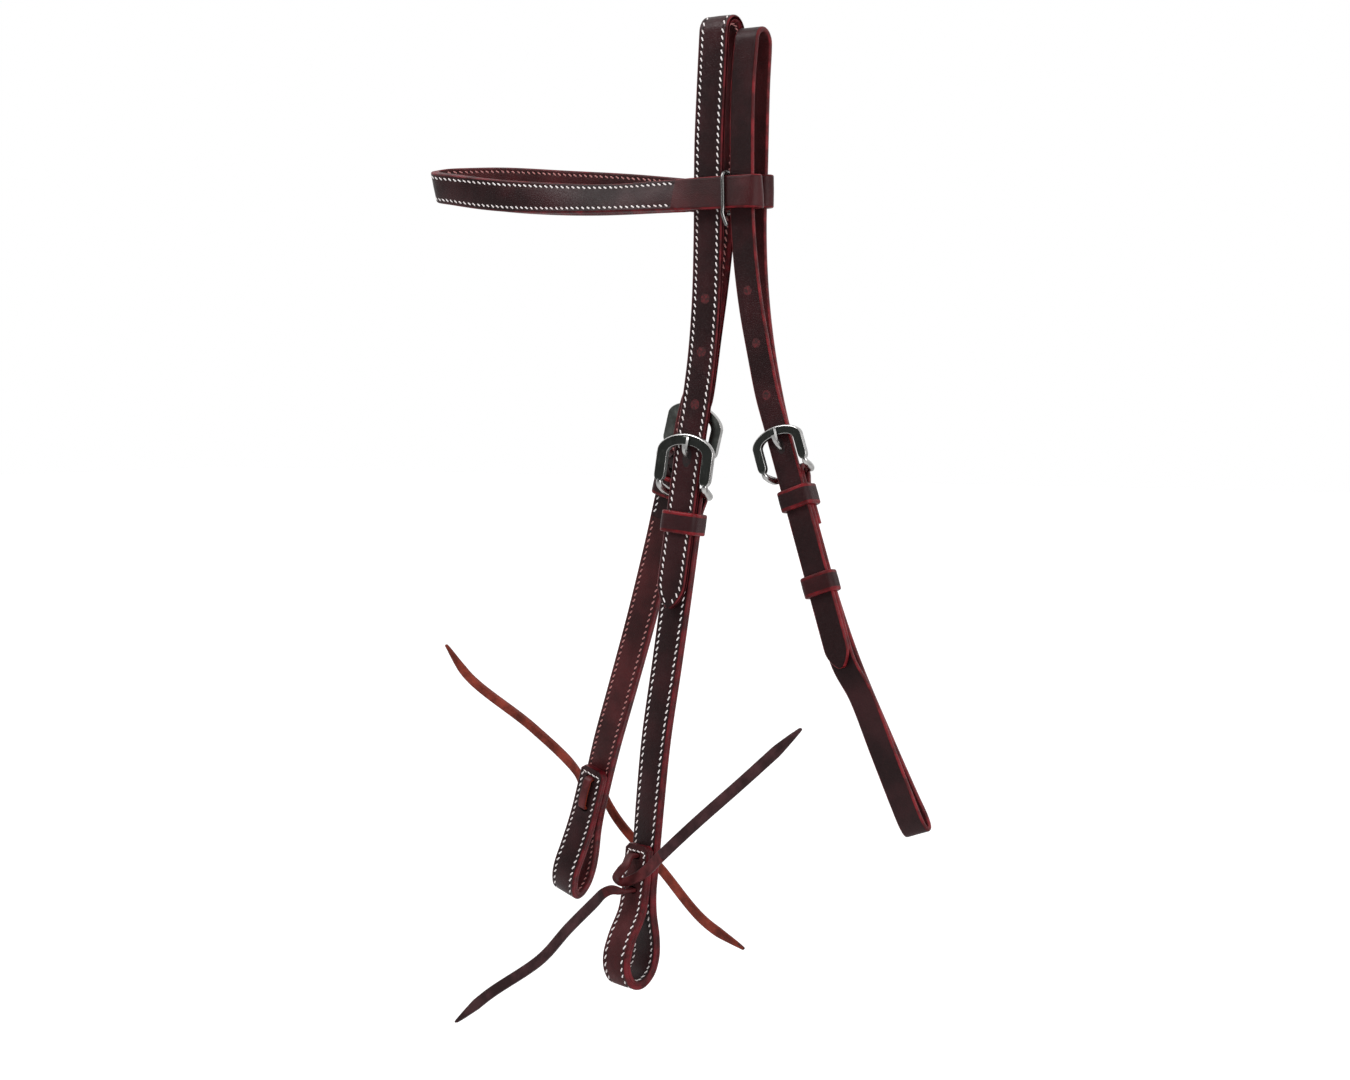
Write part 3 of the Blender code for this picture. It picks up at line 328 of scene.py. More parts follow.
class Route:
    """A smooth line through points, with the direction of the strap's width at each."""

    def __init__(self, points, across):
        points = np.array(points, float)
        across = np.array(across, float)
        if across.ndim == 1:
            across = np.repeat(across[None], len(points), axis=0)
        rows = np.hstack([points, across])
        gaps = np.sqrt(np.linalg.norm(np.diff(points, axis=0), axis=1))
        knots = np.concatenate([[0.0], np.cumsum(gaps)])
        slopes = np.gradient(rows, knots, axis=0)
        dense = []
        for i in range(len(rows) - 1):
            h = knots[i + 1] - knots[i]
            u = np.linspace(0.0, 1.0, SAMPLES, endpoint=False)[:, None]
            dense.append(
                (2 * u**3 - 3 * u**2 + 1) * rows[i]
                + (u**3 - 2 * u**2 + u) * h * slopes[i]
                + (3 * u**2 - 2 * u**3) * rows[i + 1]
                + (u**3 - u**2) * h * slopes[i + 1]
            )
        dense.append(rows[-1:])
        dense = np.vstack(dense)
        self.line = dense[:, :3]
        steps = np.linalg.norm(np.diff(self.line, axis=0), axis=1)
        self.at = np.concatenate([[0.0], np.cumsum(steps)])
        self.length = self.at[-1]
        along = np.gradient(self.line, self.at, axis=0)
        self.along = along / np.linalg.norm(along, axis=1)[:, None]
        side = dense[:, 3:]
        side = side - self.along * (side * self.along).sum(axis=1)[:, None]
        self.side = side / np.linalg.norm(side, axis=1)[:, None]

    def _read(self, table, s):
        return np.array([np.interp(s, self.at, column) for column in table.T])

    def frame(self, s):
        along = unit(self._read(self.along, s))
        side = self._read(self.side, s)
        side = unit(side - along * (side @ along))
        return self._read(self.line, s), along, side, np.cross(side, along)

    def nearest(self, point):
        return self.at[np.argmin(np.linalg.norm(self.line - point, axis=1))]

    def rings(self, stations, offset=0.0):
        """Ring places, each with its width direction and facing, moved out from the face."""
        found = []
        for s in stations:
            point, _, side, out = self.frame(s)
            found.append((point + out * offset, side, out))
        return found


class Seat:
    """A buckle's place on its billet: across, out of the face and up the strap."""

    def __init__(self, hole, up, side, bar_drop):
        self.up = unit(up)
        self.side = unit(side - self.up * (side @ self.up))
        self.out = np.cross(self.side, self.up)
        self.base = hole - self.up * bar_drop

    def at(self, across, out, up):
        return self.base + self.side * across + self.out * out + self.up * up

    def slot_place(self, bar_out):
        """Middle and directions of the slot in the fold round the heel bar."""
        return self.at(0.0, bar_out, -CHAPE_SLOT_DEPTH * CHAPE_SLOT_DROP_SHARE), self.up, self.side, self.out


STRAP_EDGE = 0.00085
GLUED_EDGE = 0.00018
SEAM_GAP = 0.00004
RED_RIM = 0.00075
GROOVE_HALF = 0.00050
SHARP_ANGLE = math.radians(52)
GROOVE_DEPTH = 0.00012
FACE_CROWN = 0.00010
STITCH_INSET = 0.0023
FINE_STEP = 0.0034
FINE_TURN_DEG = 5.0
THREAD_SIDES = 8
THREAD_RINGS = 6
NEEDLE_HOLE = (0.00048, 0.00062)
NEEDLE_SIDES = 8
WALLS = ("strap", "punched_wall", "worn_wall")

FRAME_OUTER_BEVEL = 0.00065
FRAME_INNER_BEVEL = 0.00020
OUTER_ARCH_SHARE, OUTER_ARCH_POWER = 0.90, 1.85
INNER_ARCH_SHARE, INNER_ARCH_POWER = 0.53, 2.2
RAIL_END_LENGTH = 0.0034
TONGUE_TIP_WIDTH = 0.0036
TONGUE_NECK_WIDTH = 0.0030
TONGUE_TOP_SHARE = 0.62
TONGUE_LOW = 0.0010
WIRE_CORNERS = 14
WIRE_STEP = 0.0008
UPRIGHT = np.array([0.23, 0.91, 0.34])
DARK_SIDE = (-0.15, -0.98, 0.0)
DARK_FROM, DARK_TO = 0.42, 0.84
KEY_PLACE = (-1.0, -1.3, 1.7)
FILL_PLACE = (2.0, -0.9, 0.3)
LAMP_SIZE = 1.2
LAMP_AIM = (-0.03, 0.0, -0.24)
CAMERA_SENSOR_MM = 36.0
CAMERA_LENS_MM = 58.24
CAMERA_CLIP = 0.01
CAMERA_AZIMUTH_DEG = 33.0
CAMERA_RISE_DEG = 3.668
CAMERA_PLACE = (0.5604, -0.9047, -0.1796)
FLOOR_HALF = 30.0
FLOOR_LIFT = 0.5
STITCH_SEED = 7
ARCH_STEP_DEG = 6


def colour(name, description, default):
    return FloatVectorProperty(
        name=name, description=description, subtype="COLOR", default=default, min=0.0, max=1.0
    )


def distance(name, description, default, low, high):
    return FloatProperty(
        name=name, description=description, unit="LENGTH", default=default, min=low, max=high
    )


def share(name, description, default, low=0.0):
    return FloatProperty(name=name, description=description, default=default, min=low, max=1.0)


class HeadstallLeather(PropertyGroup):
    """Colours of the leathers, as linear light"""

    grain: colour("Grain", "Outer face of the straps", (0.0215, 0.0040, 0.0050))
    lining: colour("Lining", "Inner face of the doubled straps", (0.048, 0.0060, 0.0070))
    edge: colour("Edge", "Dyed and rubbed edges of the doubled straps", (0.110, 0.0032, 0.0070))
    # Lit edge: the edge red made paler, painted light where these edges catch the side light; the red dye
    # itself is real.
    lit_edge: colour(
        "Bright edge", "Fresher red edges of the throatlatch and the keepers", (0.155, 0.0048, 0.0085)
    )
    keeper: colour("Keeper", "Loose keeper's redder leather", (0.036, 0.0045, 0.0058))
    lace: colour("Far lace", "Paler latigo of the far lace", (0.175, 0.0210, 0.0085))
    near_lace: colour("Near lace", "Plum latigo of the near lace", (0.036, 0.0085, 0.0105))
    loops: colour("Band loops", "Redder end loops of the browband", (0.040, 0.0042, 0.0054))
    knot: colour("Knots", "Redder latigo where a lace is bent through its slots", (0.080, 0.0085, 0.0100))
    shine: share("Roughness", "Roughness of the oiled grain", 0.38, 0.05)


class HeadstallSewing(PropertyGroup):
    """The sewing thread and how it is laid"""

    pitch: distance("Pitch", "From one stitch to the next", 0.00327, 0.001, 0.01)
    length: distance("Stitch length", "Thread that shows in one stitch", 0.00300, 0.0005, 0.01)
    thread: distance("Thread", "Thickness of the thread", 0.00076, 0.0002, 0.002)
    slant: FloatProperty(
        name="Slant", description="How far a stitch leans from its row", subtype="ANGLE",
        default=math.radians(29), min=0.0, max=1.0,
    )
    white: colour("White thread", "Thread on the outer faces", (0.92, 0.88, 0.87))
    pink: colour("Stained thread", "Thread drawn into the lining", (0.52, 0.22, 0.21))


class HeadstallSteel(PropertyGroup):
    """The buckles' and wires' finish"""

    # Dark face: the plate colour darkened on the buckles' flat faces, a painted reflection of the dark room.
    dark: colour("Dark face", "Smoked flat faces of the buckles", (0.105, 0.110, 0.102))
    bright: colour("Bright plate", "Bevels, tongues, heel bars and divider wires", (0.56, 0.55, 0.54))
    polish: share("Roughness", "Roughness of the plate", 0.20, 0.02)


class HeadstallStudio(PropertyGroup):
    """Floor, lamps and camera"""

    floor_drop: distance("Floor", "Height of the hanging point above the floor", 1.5, 0.6, 5.0)
    key: FloatProperty(name="Key", description="Power of the large soft lamp", default=34.0, min=0.0)
    fill: FloatProperty(name="Fill", description="Power of the second lamp", default=16.0, min=0.0)
    sky: FloatProperty(name="Room", description="Light from the white room", default=1.15, min=0.0)
    shade: share("Shade", "Share of that light from the dark side behind the camera", 0.05)


class Wire:
    """A shader socket with arithmetic, so that masks read as formulas."""

    def __init__(self, shop, socket):
        self.shop = shop
        self.socket = socket

    def _with(self, operation, first, second):
        return self.shop.node("ShaderNodeMath", {"operation": operation}, {0: first, 1: second})

    def __add__(self, other):
        return self._with("ADD", self, other)

    def __sub__(self, other):
        return self._with("SUBTRACT", self, other)

    def __mul__(self, other):
        return self._with("MULTIPLY", self, other)


class Finish:
    """One procedural material, built a node at a time."""

    def __init__(self, name):
        self.made = bpy.data.materials.new(name)
        self.made.use_nodes = True
        self.tree = self.made.node_tree
        self.shader = self.tree.nodes["Principled BSDF"]

    def node(self, kind, settings=None, values=None, out=0):
        """A node with its settings, the values or links of its sockets, and one output."""
        made = self.tree.nodes.new(kind)
        for key, value in (settings or {}).items():
            setattr(made, key, value)
        for key, value in (values or {}).items():
            self.join(made.inputs[key], value)
        return Wire(self, made.outputs[out])

    def join(self, socket, value):
        if isinstance(value, Wire):
            self.tree.links.new(value.socket, socket)
        elif hasattr(value, "__len__") and len(value) == 3 and socket.type == "RGBA":
            socket.default_value = (*value, 1.0)
        else:
            socket.default_value = value

    def place(self):
        return self.node("ShaderNodeTexCoord", out="Object")

    def noise(self, scale, detail=3.0, rough=0.5, stretch=None):
        place = self.place()
        if stretch is not None:
            place = self.node("ShaderNodeMapping", {}, {"Vector": place, "Scale": stretch})
        return self.node(
            "ShaderNodeTexNoise", {},
            {"Vector": place, "Scale": scale, "Detail": detail, "Roughness": rough},
        )

    def cells(self, scale):
        """How far a place lies from the nearest wall between two cells."""
        return self.node(
            "ShaderNodeTexVoronoi", {"feature": "DISTANCE_TO_EDGE"}, {"Vector": self.place(), "Scale": scale}
        )

    def step(self, value, low, high, start=0.0, end=1.0):
        return self.node(
            "ShaderNodeMapRange", {"interpolation_type": "SMOOTHSTEP"},
            {"Value": value, "From Min": low, "From Max": high, "To Min": start, "To Max": end},
        )

    def attribute(self, name):
        return self.node("ShaderNodeAttribute", {"attribute_name": name}, out="Fac")

    def mix(self, factor, first, second):
        made = self.tree.nodes.new("ShaderNodeMix")
        made.data_type = "RGBA"
        self.join(made.inputs[0], factor)
        self.join(made.inputs[6], first)
        self.join(made.inputs[7], second)
        return Wire(self, made.outputs[2])

    def bump(self, height, distance, strength):
        return self.node("ShaderNodeBump", {}, {"Height": height, "Distance": distance, "Strength": strength})

    def set(self, **inputs):
        for key, value in inputs.items():
            self.join(self.shader.inputs[key.replace("_", " ").title()], value)
        return self.made


def tint(colour, share, lift=0.0):
    """A darker or paler version of a colour."""
    return tuple(min(1.0, value * share + lift) for value in colour)


def leather(name, face, edge, rough, grain=1.0, edge_rough=0.34):
    """Oiled leather: dyed face with fine pores and creases, red rubbed edges."""
    finish = Finish(name)
    rim = finish.attribute("rim")
    wobble = finish.noise(420.0, 3.0)
    rubbed = finish.step(rim + (wobble - 0.5) * 0.34, 0.34, 0.62)
    broad = finish.noise(34.0, 3.0, 0.6)
    fine = finish.noise(900.0, 2.0, 0.6)
    pale, deep = tint(face, 1.55, 0.002), tint(face, 0.60)
    colour = finish.mix(finish.step(broad, 0.36, 0.68), deep, pale)
    colour = finish.mix(finish.step(fine, 0.50, 0.80) * 0.40, colour, pale)
    worn, dull = tint(edge, 1.35, 0.003), tint(edge, 0.42)
    side = finish.mix(finish.step(finish.noise(160.0, 4.0), 0.34, 0.70), dull, worn)
    colour = finish.mix(rubbed, colour, side)
    pores = finish.cells(1150.0)
    hollow = finish.step(pores, 0.0, 0.16)
    crease = finish.noise(260.0, 5.0, 0.62)
    height = hollow * 0.55 + crease * 0.9 + fine * 0.35
    normal = finish.bump(height, 0.00009 * grain, 0.85)
    gloss = finish.step(broad, 0.30, 0.75, rough + 0.07, rough - 0.05)
    gloss = gloss + (fine - 0.5) * 0.16 - rubbed * (rough - edge_rough)
    finish.set(base_color=colour, roughness=gloss, normal=normal)
    finish.shader.inputs["Specular IOR Level"].default_value = 0.20
    return finish.made


def bare_leather(name, face, rough):
    """The raw wall of a punched hole."""
    finish = Finish(name)
    fibre = finish.noise(700.0, 4.0, 0.7)
    colour = finish.mix(finish.step(fibre, 0.34, 0.70), tint(face, 0.25), tint(face, 2.2))
    return finish.set(base_color=colour, roughness=rough, normal=finish.bump(fibre, 0.0001, 0.8))


def needle_hole_shade(name, colour):
    """Painted shade of a needle hole: a dark colour standing for the shadow in the hole's mouth."""
    finish = Finish(name)
    fibre = finish.noise(2400.0, 2.0, 0.6)
    shade = finish.mix(fibre, tint(colour, 0.4), tint(colour, 1.3))
    return finish.set(base_color=shade, roughness=0.9)


def sewing_thread(name, colour):
    """Twisted waxed thread, stained where it dives into the leather and where dust has settled."""
    finish = Finish(name)
    ply = finish.noise(2600.0, 2.0, 0.5, stretch=(1.0, 1.0, 0.6))
    stain = finish.noise(75.0, 3.0, 0.6)
    dirty = tuple(a * b for a, b in zip(colour, (0.70, 0.55, 0.53)))
    shade = finish.mix(finish.step(stain, 0.42, 0.74) * 0.50, colour, dirty)
    shade = finish.mix(finish.step(ply, 0.40, 0.70) * 0.35, shade, dirty)
    dyed = tuple(a * b for a, b in zip(colour, (0.62, 0.26, 0.26)))
    shade = finish.mix(finish.step(finish.attribute("rim"), 0.80, 1.0) * 0.80, shade, dyed)
    return finish.set(base_color=shade, roughness=0.62, normal=finish.bump(ply, 0.00006, 0.8))


def steel(name, colour, rough, tarnish=0.4):
    """Plated steel, smoky and rubbed bright in random clouds, with fine scratches."""
    finish = Finish(name)
    cloud = finish.noise(190.0, 4.0, 0.6)
    scratch = finish.noise(1800.0, 2.0, 0.5, stretch=(1.0, 1.0, 0.12))
    smoky = tint(colour, 1.0 - tarnish)
    shade = finish.mix(finish.step(cloud, 0.35, 0.70), smoky, colour)
    gloss = finish.step(cloud, 0.30, 0.75, rough + 0.10, rough - 0.03) + (scratch - 0.5) * 0.08
    normal = finish.bump(scratch, 0.00001, 0.5)
    finish.set(base_color=shade, roughness=gloss, normal=normal)
    finish.shader.inputs["Metallic"].default_value = 1.0
    return finish.made


def dark_reflection_face(name, colour, rough):
    """Painted dark reflection on the flat plate faces, with a faint slanting brush and cloudy wear."""
    finish = Finish(name)
    cloud = finish.noise(150.0, 4.0, 0.6)
    brush = finish.noise(900.0, 3.0, 0.6, stretch=(1.0, 1.0, 0.22))
    worn, deep = tint(colour, 1.9), tint(colour, 0.60)
    shade = finish.mix(finish.step(cloud, 0.34, 0.72), deep, colour)
    shade = finish.mix(finish.step(brush, 0.54, 0.80) * 0.55, shade, worn)
    gloss = finish.step(cloud, 0.30, 0.75, rough + 0.08, rough - 0.06)
    finish.set(base_color=shade, roughness=gloss, normal=finish.bump(brush, 0.00002, 0.6))
    finish.shader.inputs["Metallic"].default_value = 1.0
    return finish.made


def latigo(name, face, rough):
    """Soft oiled lace leather with long creases and a paler worn grain."""
    finish = Finish(name)
    broad = finish.noise(90.0, 4.0, 0.6)
    fine = finish.noise(1100.0, 3.0, 0.6)
    deep, pale = tint(face, 0.50), tint(face, 1.5, 0.01)
    rim = finish.attribute("rim")
    colour = finish.mix(finish.step(broad, 0.34, 0.70), deep, pale)
    colour = finish.mix(finish.step(fine, 0.50, 0.78) * 0.35, colour, pale)
    colour = finish.mix(rim * 0.55, colour, tint(face, 0.75))
    height = finish.noise(420.0, 4.0, 0.65) * 0.9 + fine * 0.5
    finish.shader.inputs["Specular IOR Level"].default_value = 0.22
    return finish.set(base_color=colour, roughness=rough, normal=finish.bump(height, 0.00014, 0.8))


def palette():
    """The maker of each of the object's finishes, by name."""
    scene = bpy.context.scene
    hide, sewing, plate = scene.headstall_leather, scene.headstall_sewing, scene.headstall_steel
    return {
        "oiled_grain": lambda: leather("oiled_grain", hide.grain, hide.edge, hide.shine),
        "oiled_lining": lambda: leather("oiled_lining", hide.lining, hide.edge, hide.shine + 0.06, 1.3),
        # These finishes edge in the paler red, painted light on edges that catch the side light.
        "red_edged_grain": lambda: leather("red_edged_grain", hide.grain, hide.lit_edge, hide.shine),
        "red_keeper": lambda: leather("red_keeper", hide.keeper, hide.lit_edge, hide.shine),
        "loop_lining": lambda: leather("loop_lining", hide.lining, hide.edge, 0.62, 1.3),
        "loop_grain": lambda: leather("loop_grain", hide.loops, hide.lit_edge, hide.shine),
        "red_edged_flesh": lambda: leather("red_edged_flesh", hide.lining, hide.lit_edge, 0.50, 1.3),
        # Punched hole walls: the edge red at half strength over raw fibre; the darkening is painted shade
        # inside the holes.
        "punched_wall": lambda: bare_leather("punched_wall", tint(hide.edge, 0.5), 0.8),
        "worn_wall": lambda: bare_leather("worn_wall", tint(hide.grain, 0.5), 0.8),
        "near_latigo": lambda: latigo("near_latigo", hide.near_lace, 0.50),
        "knot_latigo": lambda: latigo("knot_latigo", hide.knot, 0.46),
        "far_latigo": lambda: latigo("far_latigo", hide.lace, 0.50),
        # Needle holes: the grain darkened to a third, painted shade for the dark mouths of the holes.
        "needle_hole_shade": lambda: needle_hole_shade("needle_hole_shade", tint(hide.grain, 0.35)),
        "white_thread": lambda: sewing_thread("white_thread", sewing.white),
        "stained_thread": lambda: sewing_thread("stained_thread", sewing.pink),
        # The buckles' flat faces: painted dark reflection; their bevels, tongues and heel bars: bright plate.
        "dark_reflection_plate": lambda: dark_reflection_face("dark_reflection_plate", plate.dark, plate.polish + 0.12),
        "bright_plate": lambda: steel("bright_plate", plate.bright, plate.polish, 0.25),
        "divider_plate": lambda: steel("divider_plate", tint(plate.bright, 0.45), plate.polish),
    }


def look(name):
    found = bpy.data.materials.get(name)
    return found if found else palette()[name]()


def rounded_section(width, thickness, front_edge, back_edge, sewn_front=False, sewn_back=False, red=0.0):
    """Corners of a ply's cross-section, each with how much of the dyed rim it shows."""
    w = width / 2
    t = thickness / 2

    def face(edge, level, sewn):
        """Half of one face, from its rounded edge to its middle."""
        row = w - STITCH_INSET
        found = [(w - edge, level, 1.0 if red else 0.2)]
        if sewn and row - GROOVE_HALF > GROOVE_HALF:
            found.append((row + GROOVE_HALF, level, 0.0))
            found.append((row, level - math.copysign(GROOVE_DEPTH, level), 0.0))
            found.append((row - GROOVE_HALF, level, 0.0))
        elif w - edge - RED_RIM > 0.0:
            found.append((w - edge - max(red, RED_RIM), level, 0.0))
        return found

    def corner(edge, level):
        """A rounded corner from the side wall up to the face."""
        edge = min(edge, w * 0.9, thickness * 0.45)
        lift = math.copysign(edge, level)
        points = []
        for degrees in (0, 30, 60):
            angle = math.radians(degrees)
            shade = 1.0 if red or degrees < 60 else 0.75
            points.append((w - edge + edge * math.cos(angle), level - lift + lift * math.sin(angle), shade))
        return points

    front_edge = min(front_edge, w * 0.9, thickness * 0.45)
    back_edge = min(back_edge, w * 0.9, thickness * 0.45)
    upper = corner(front_edge, t) + face(front_edge, t, sewn_front)
    lower = corner(back_edge, -t) + face(back_edge, -t, sewn_back)
    right = upper + [(0.0, t + FACE_CROWN * min(1.0, width / STRAP_WIDTH), 0.0)]
    left = [(-a, b, rim) for a, b, rim in reversed(upper)]
    under_left = [(-a, b, rim) for a, b, rim in lower]
    under_right = [(a, b, rim) for a, b, rim in reversed(lower)]
    return right + left + under_left + [(0.0, -t, 0.0)] + under_right


def fine_stations(route, start, end, step=FINE_STEP, ends=()):
    """Close ring positions between two places, closer still where the strap bends."""
    found = [start]
    last = route.frame(start)
    for s in np.arange(start, end, FINE_STEP / 8)[1:]:
        place = route.frame(s)
        turn = math.degrees(math.acos(np.clip(place[1] @ last[1], -1, 1)))
        turn += math.degrees(math.acos(np.clip(place[2] @ last[2], -1, 1)))
        if s - found[-1] > step or turn > FINE_TURN_DEG:
            found.append(s)
            last = place
    found = [s for s in found if end - s > step / 6]
    return sorted(set(found + [end] + list(ends)))


def sweep(rings, sections):
    """A closed leather body: each ring is the last one pushed on along the strap."""
    bm = bmesh.new()
    rim = bm.verts.layers.float.new("rim")
    uv = bm.loops.layers.uv.new("strap")
    travelled = 0.0
    around = np.concatenate([[0.0], np.cumsum([
        math.dist(a[:2], b[:2]) for a, b in zip(sections[0], sections[0][1:] + sections[0][:1])
    ])])
    loop = []
    before = None
    for (point, side, out), section in zip(rings, sections):
        places = [Vector(point + side * a + out * b) for a, b, _ in section]
        if not loop:
            loop = [bm.verts.new(place) for place in places]
            edges = [bm.edges.new((a, b)) for a, b in zip(loop, loop[1:] + loop[:1])]
            fresh = list(loop)
        else:
            pushed = bmesh.ops.extrude_edge_only(bm, edges=edges)["geom"]
            faces = [item for item in pushed if isinstance(item, bmesh.types.BMFace)]
            ahead = {}
            for face in faces:
                for edge in face.edges:
                    a, b = edge.verts
                    if (a in before) != (b in before):
                        ahead[a if a in before else b] = b if a in before else a
            step = float(np.linalg.norm(point - last_point))
            fresh = [ahead[vert] for vert in loop]
            order = {vert: i for i, vert in enumerate(loop)}
            order.update({vert: i for i, vert in enumerate(fresh)})
            for face in faces:
                indices = {order[corner.vert] for corner in face.loops}
                wraps = max(indices) - min(indices) > 1
                for corner in face.loops:
                    i = order[corner.vert]
                    v = around[-1] if wraps and i == 0 else around[i]
                    u = travelled + (step if corner.vert in set(fresh) else 0.0)
                    corner[uv].uv = (u, v)
            travelled += step
            edges = [bm.edges.get((a, b)) for a, b in zip(fresh, fresh[1:] + fresh[:1])]
        for vert, place, (_, _, shade) in zip(fresh, places, section):
            vert.co = place
            vert[rim] = shade
        if before is None:
            start_cap = list(fresh)
        loop = fresh
        before = set(fresh)
        last_point = point
    bmesh.ops.contextual_create(bm, geom=start_cap)
    bmesh.ops.contextual_create(bm, geom=loop)
    return bm


def crown_line():
    """The crown's middle line from the near billet's tip over the top to the far one's."""
    radius = ARCH_INNER_RADIUS + PLY + PLY_GAP / 2
    lift = ARCH_INNER_RADIUS * math.cos(math.asin(SEAT_LENGTH / 2 / radius))
    near_start, near_end = spans(NEAR_BILLET_START_SHARES), spans(NEAR_BILLET_END_SHARES)
    far_start, far_end = spans(FAR_BILLET_START_SHARES), spans(FAR_BILLET_END_SHARES)
    quarters = (0.0, 0.25, 0.5, 0.75, 1.0)
    points = [near_end + (near_start - near_end) * share for share in quarters]
    points += list(spans(NEAR_LEG_SHARES))
    for degrees in range(0, 181, 15):
        angle = math.radians(degrees)
        points.append(np.array([0.0, -radius * math.cos(angle), radius * math.sin(angle) - lift]))
    points += list(spans(FAR_LEG_SHARES))
    points += [far_start + (far_end - far_start) * share for share in quarters]
    return Route(points, (1.0, 0.0, 0.0))


def tongue_hole(start, end):
    direction = unit(start - end)
    return start - direction * (BAR_TO_RAIL + RAIL_WIDTH - BAR_TO_HOLE)


def billet(side):
    """(start, end, tongue hole) of the crown's billet on that side."""
    near = side == "near"
    start = spans(NEAR_BILLET_START_SHARES if near else FAR_BILLET_START_SHARES)
    end = spans(NEAR_BILLET_END_SHARES if near else FAR_BILLET_END_SHARES)
    return start, end, tongue_hole(start, end)


def loop_of(side):
    """(top, down, out) of that side's bit loop."""
    if side == "near":
        shares = NEAR_LOOP_TOP_SHARES, NEAR_LOOP_DOWN_SHARES, NEAR_LOOP_OUT_SHARES
    else:
        shares = FAR_LOOP_TOP_SHARES, FAR_LOOP_DOWN_SHARES, FAR_LOOP_OUT_SHARES
    down = unit(shares[1])
    out = unit(shares[2] - down * (np.array(shares[2]) @ down))
    return spans(shares[0]), down, out


class Cheek:
    """Lines and levels of one cheek: its buckle seat, chape fold and doubled run."""

    def __init__(self, side):
        sign = 1 if side == "near" else -1
        self.length = LOOP_LENGTH if side == "near" else FAR_LOOP_LENGTH
        self.swell = LOOP_SWELL if side == "near" else FAR_LOOP_SWELL
        self.top, self.down, self.out = loop_of(side)
        start, end, hole = billet(side)
        self.layers = PLY + PLY_GAP / 2
        self.front = -(self.layers + LAYER_GAP + PLY / 2)
        self.back = self.front - PLY - PLY_GAP
        self.radius = BAR_RADIUS + PLY_GAP + PLY / 2
        self.bar_out = self.front - self.radius
        across = np.array([float(sign), 0.0, 0.0])
        self.seat = Seat(hole, start - end, across, BAR_TO_HOLE)
        seat = self.seat
        middle = (self.front + self.back) / 2
        self.lateral = np.cross(self.out, self.down)
        self.turned_back = 2 * self.layers + LAYER_GAP
        points = [seat.at(0.0, middle, -CHAPE_LENGTH * share) for share in (0.2, 0.6, 1.0, 1.35)]
        sides = [seat.side] * len(points)
        table = list(spans(NEAR_CHEEK_SHARES if side == "near" else FAR_CHEEK_SHARES))
        for i, place in enumerate(table):
            share = (i + 1) / (len(table) + 1)
            points.append(place)
            sides.append(unit(seat.side * (1 - share) + self.lateral * sign * share))
        for along_share, out_share in LOOP_SHARES:
            points.append(self.at_loop(0.0, self.swell * out_share, self.length * along_share))
            sides.append(self.lateral * sign)
        for along_share in LOOP_RETURN_SHARES:
            reach = self.turned_back + self.swell * 0.14 * max(0.0, (along_share - 0.33) / 0.16)
            points.append(self.at_loop(0.0, reach, self.length * along_share))
            sides.append(self.lateral * sign)
        self.route = Route(points, sides)
        self.butt = self.route.nearest(seat.at(0.0, middle, -CHAPE_LENGTH - PLY_GAP))
        rows = chape_rows(self.bar_out, self.radius, self.front, self.back, CHAPE_LENGTH)
        self.chape = Route([seat.at(0.0, a, b) for a, b in rows], seat.side)

    def at_loop(self, across, facing, along):
        """A place by the bit loop, from its turned-back end."""
        return self.top + self.lateral * across + self.out * facing + self.down * along


def chape_rows(bar_out, radius, front, back, length):
    """Rows (out, up) of a strap end that comes up behind, round the bar and down in front."""
    rows = [
        (back, -length),
        (back, -length * 0.66),
        (back, -length * 0.38),
        (back + (bar_out - radius - back) * 0.04, -length * 0.28),
        (back + (bar_out - radius - back) * 0.36, -length * 0.19),
        (back + (bar_out - radius - back) * 0.86, -length * 0.08),
    ]
    for degrees in (180, 150, 120, 90, 60, 30, 0):
        angle = math.radians(degrees)
        rows.append((bar_out + radius * math.cos(angle), radius * math.sin(angle)))
    rows += [(front, -length * 0.30), (front, -length * 0.70)]
    return rows


def leaning(points, degrees):
    """Width directions near to vertical, leaning over by these angles about the route."""
    points = np.array(points, float)
    along = np.gradient(points, axis=0)
    sides = []
    for direction, angle in zip(along, degrees):
        direction = unit(direction)
        up = np.array([0.0, 0.0, 1.0])
        up = unit(up - direction * (up @ direction))
        sides.append(turned(up, direction, angle))
    return sides


def browband_line():
    table = spans(BROWBAND_SHARES)
    return Route(table, leaning(table, BROWBAND_LEAN_DEG))


def loop_points(sign, front, end, z, edge, lean, start):
    """One end loop, from its sewn-down end behind the straps round to its front."""
    middle = (front + LOOP_BACK) / 2
    bend = (front - LOOP_BACK) / 2
    table = (
        (-edge - PLY * 1.9, LOOP_BACK + PLY * 2.1, lean * 0.7),
        (-edge - PLY * 1.15, LOOP_BACK + PLY * 0.55, lean * 0.3),
        (-edge + PLY * 0.2, LOOP_BACK - PLY * 0.12, 0.0),
        (0.0, LOOP_BACK, 0.0),
        (end * 0.40, LOOP_BACK, 0.0),
        (end - bend * 1.4, LOOP_BACK, 0.0),
        (end - bend * 0.42, middle - bend * 0.76, lean * 0.25),
        (end, middle, lean * 0.5),
        (end - bend * 0.42, middle + bend * 0.76, lean * 0.75),
        (end - bend * 1.4, front, lean),
        (end * 0.40, front, lean),
        (0.0, front, lean),
        (-edge - PLY * 0.5, front, lean * 1.2),
    )
    points = [place for place, _, _ in start]
    sides = [side for _, side, _ in start]
    table_points = [(x, sign * y, -z) for x, y, _ in table]
    leans = [-sign * degrees for _, _, degrees in table]
    return points + table_points, sides + leaning(table_points, leans)


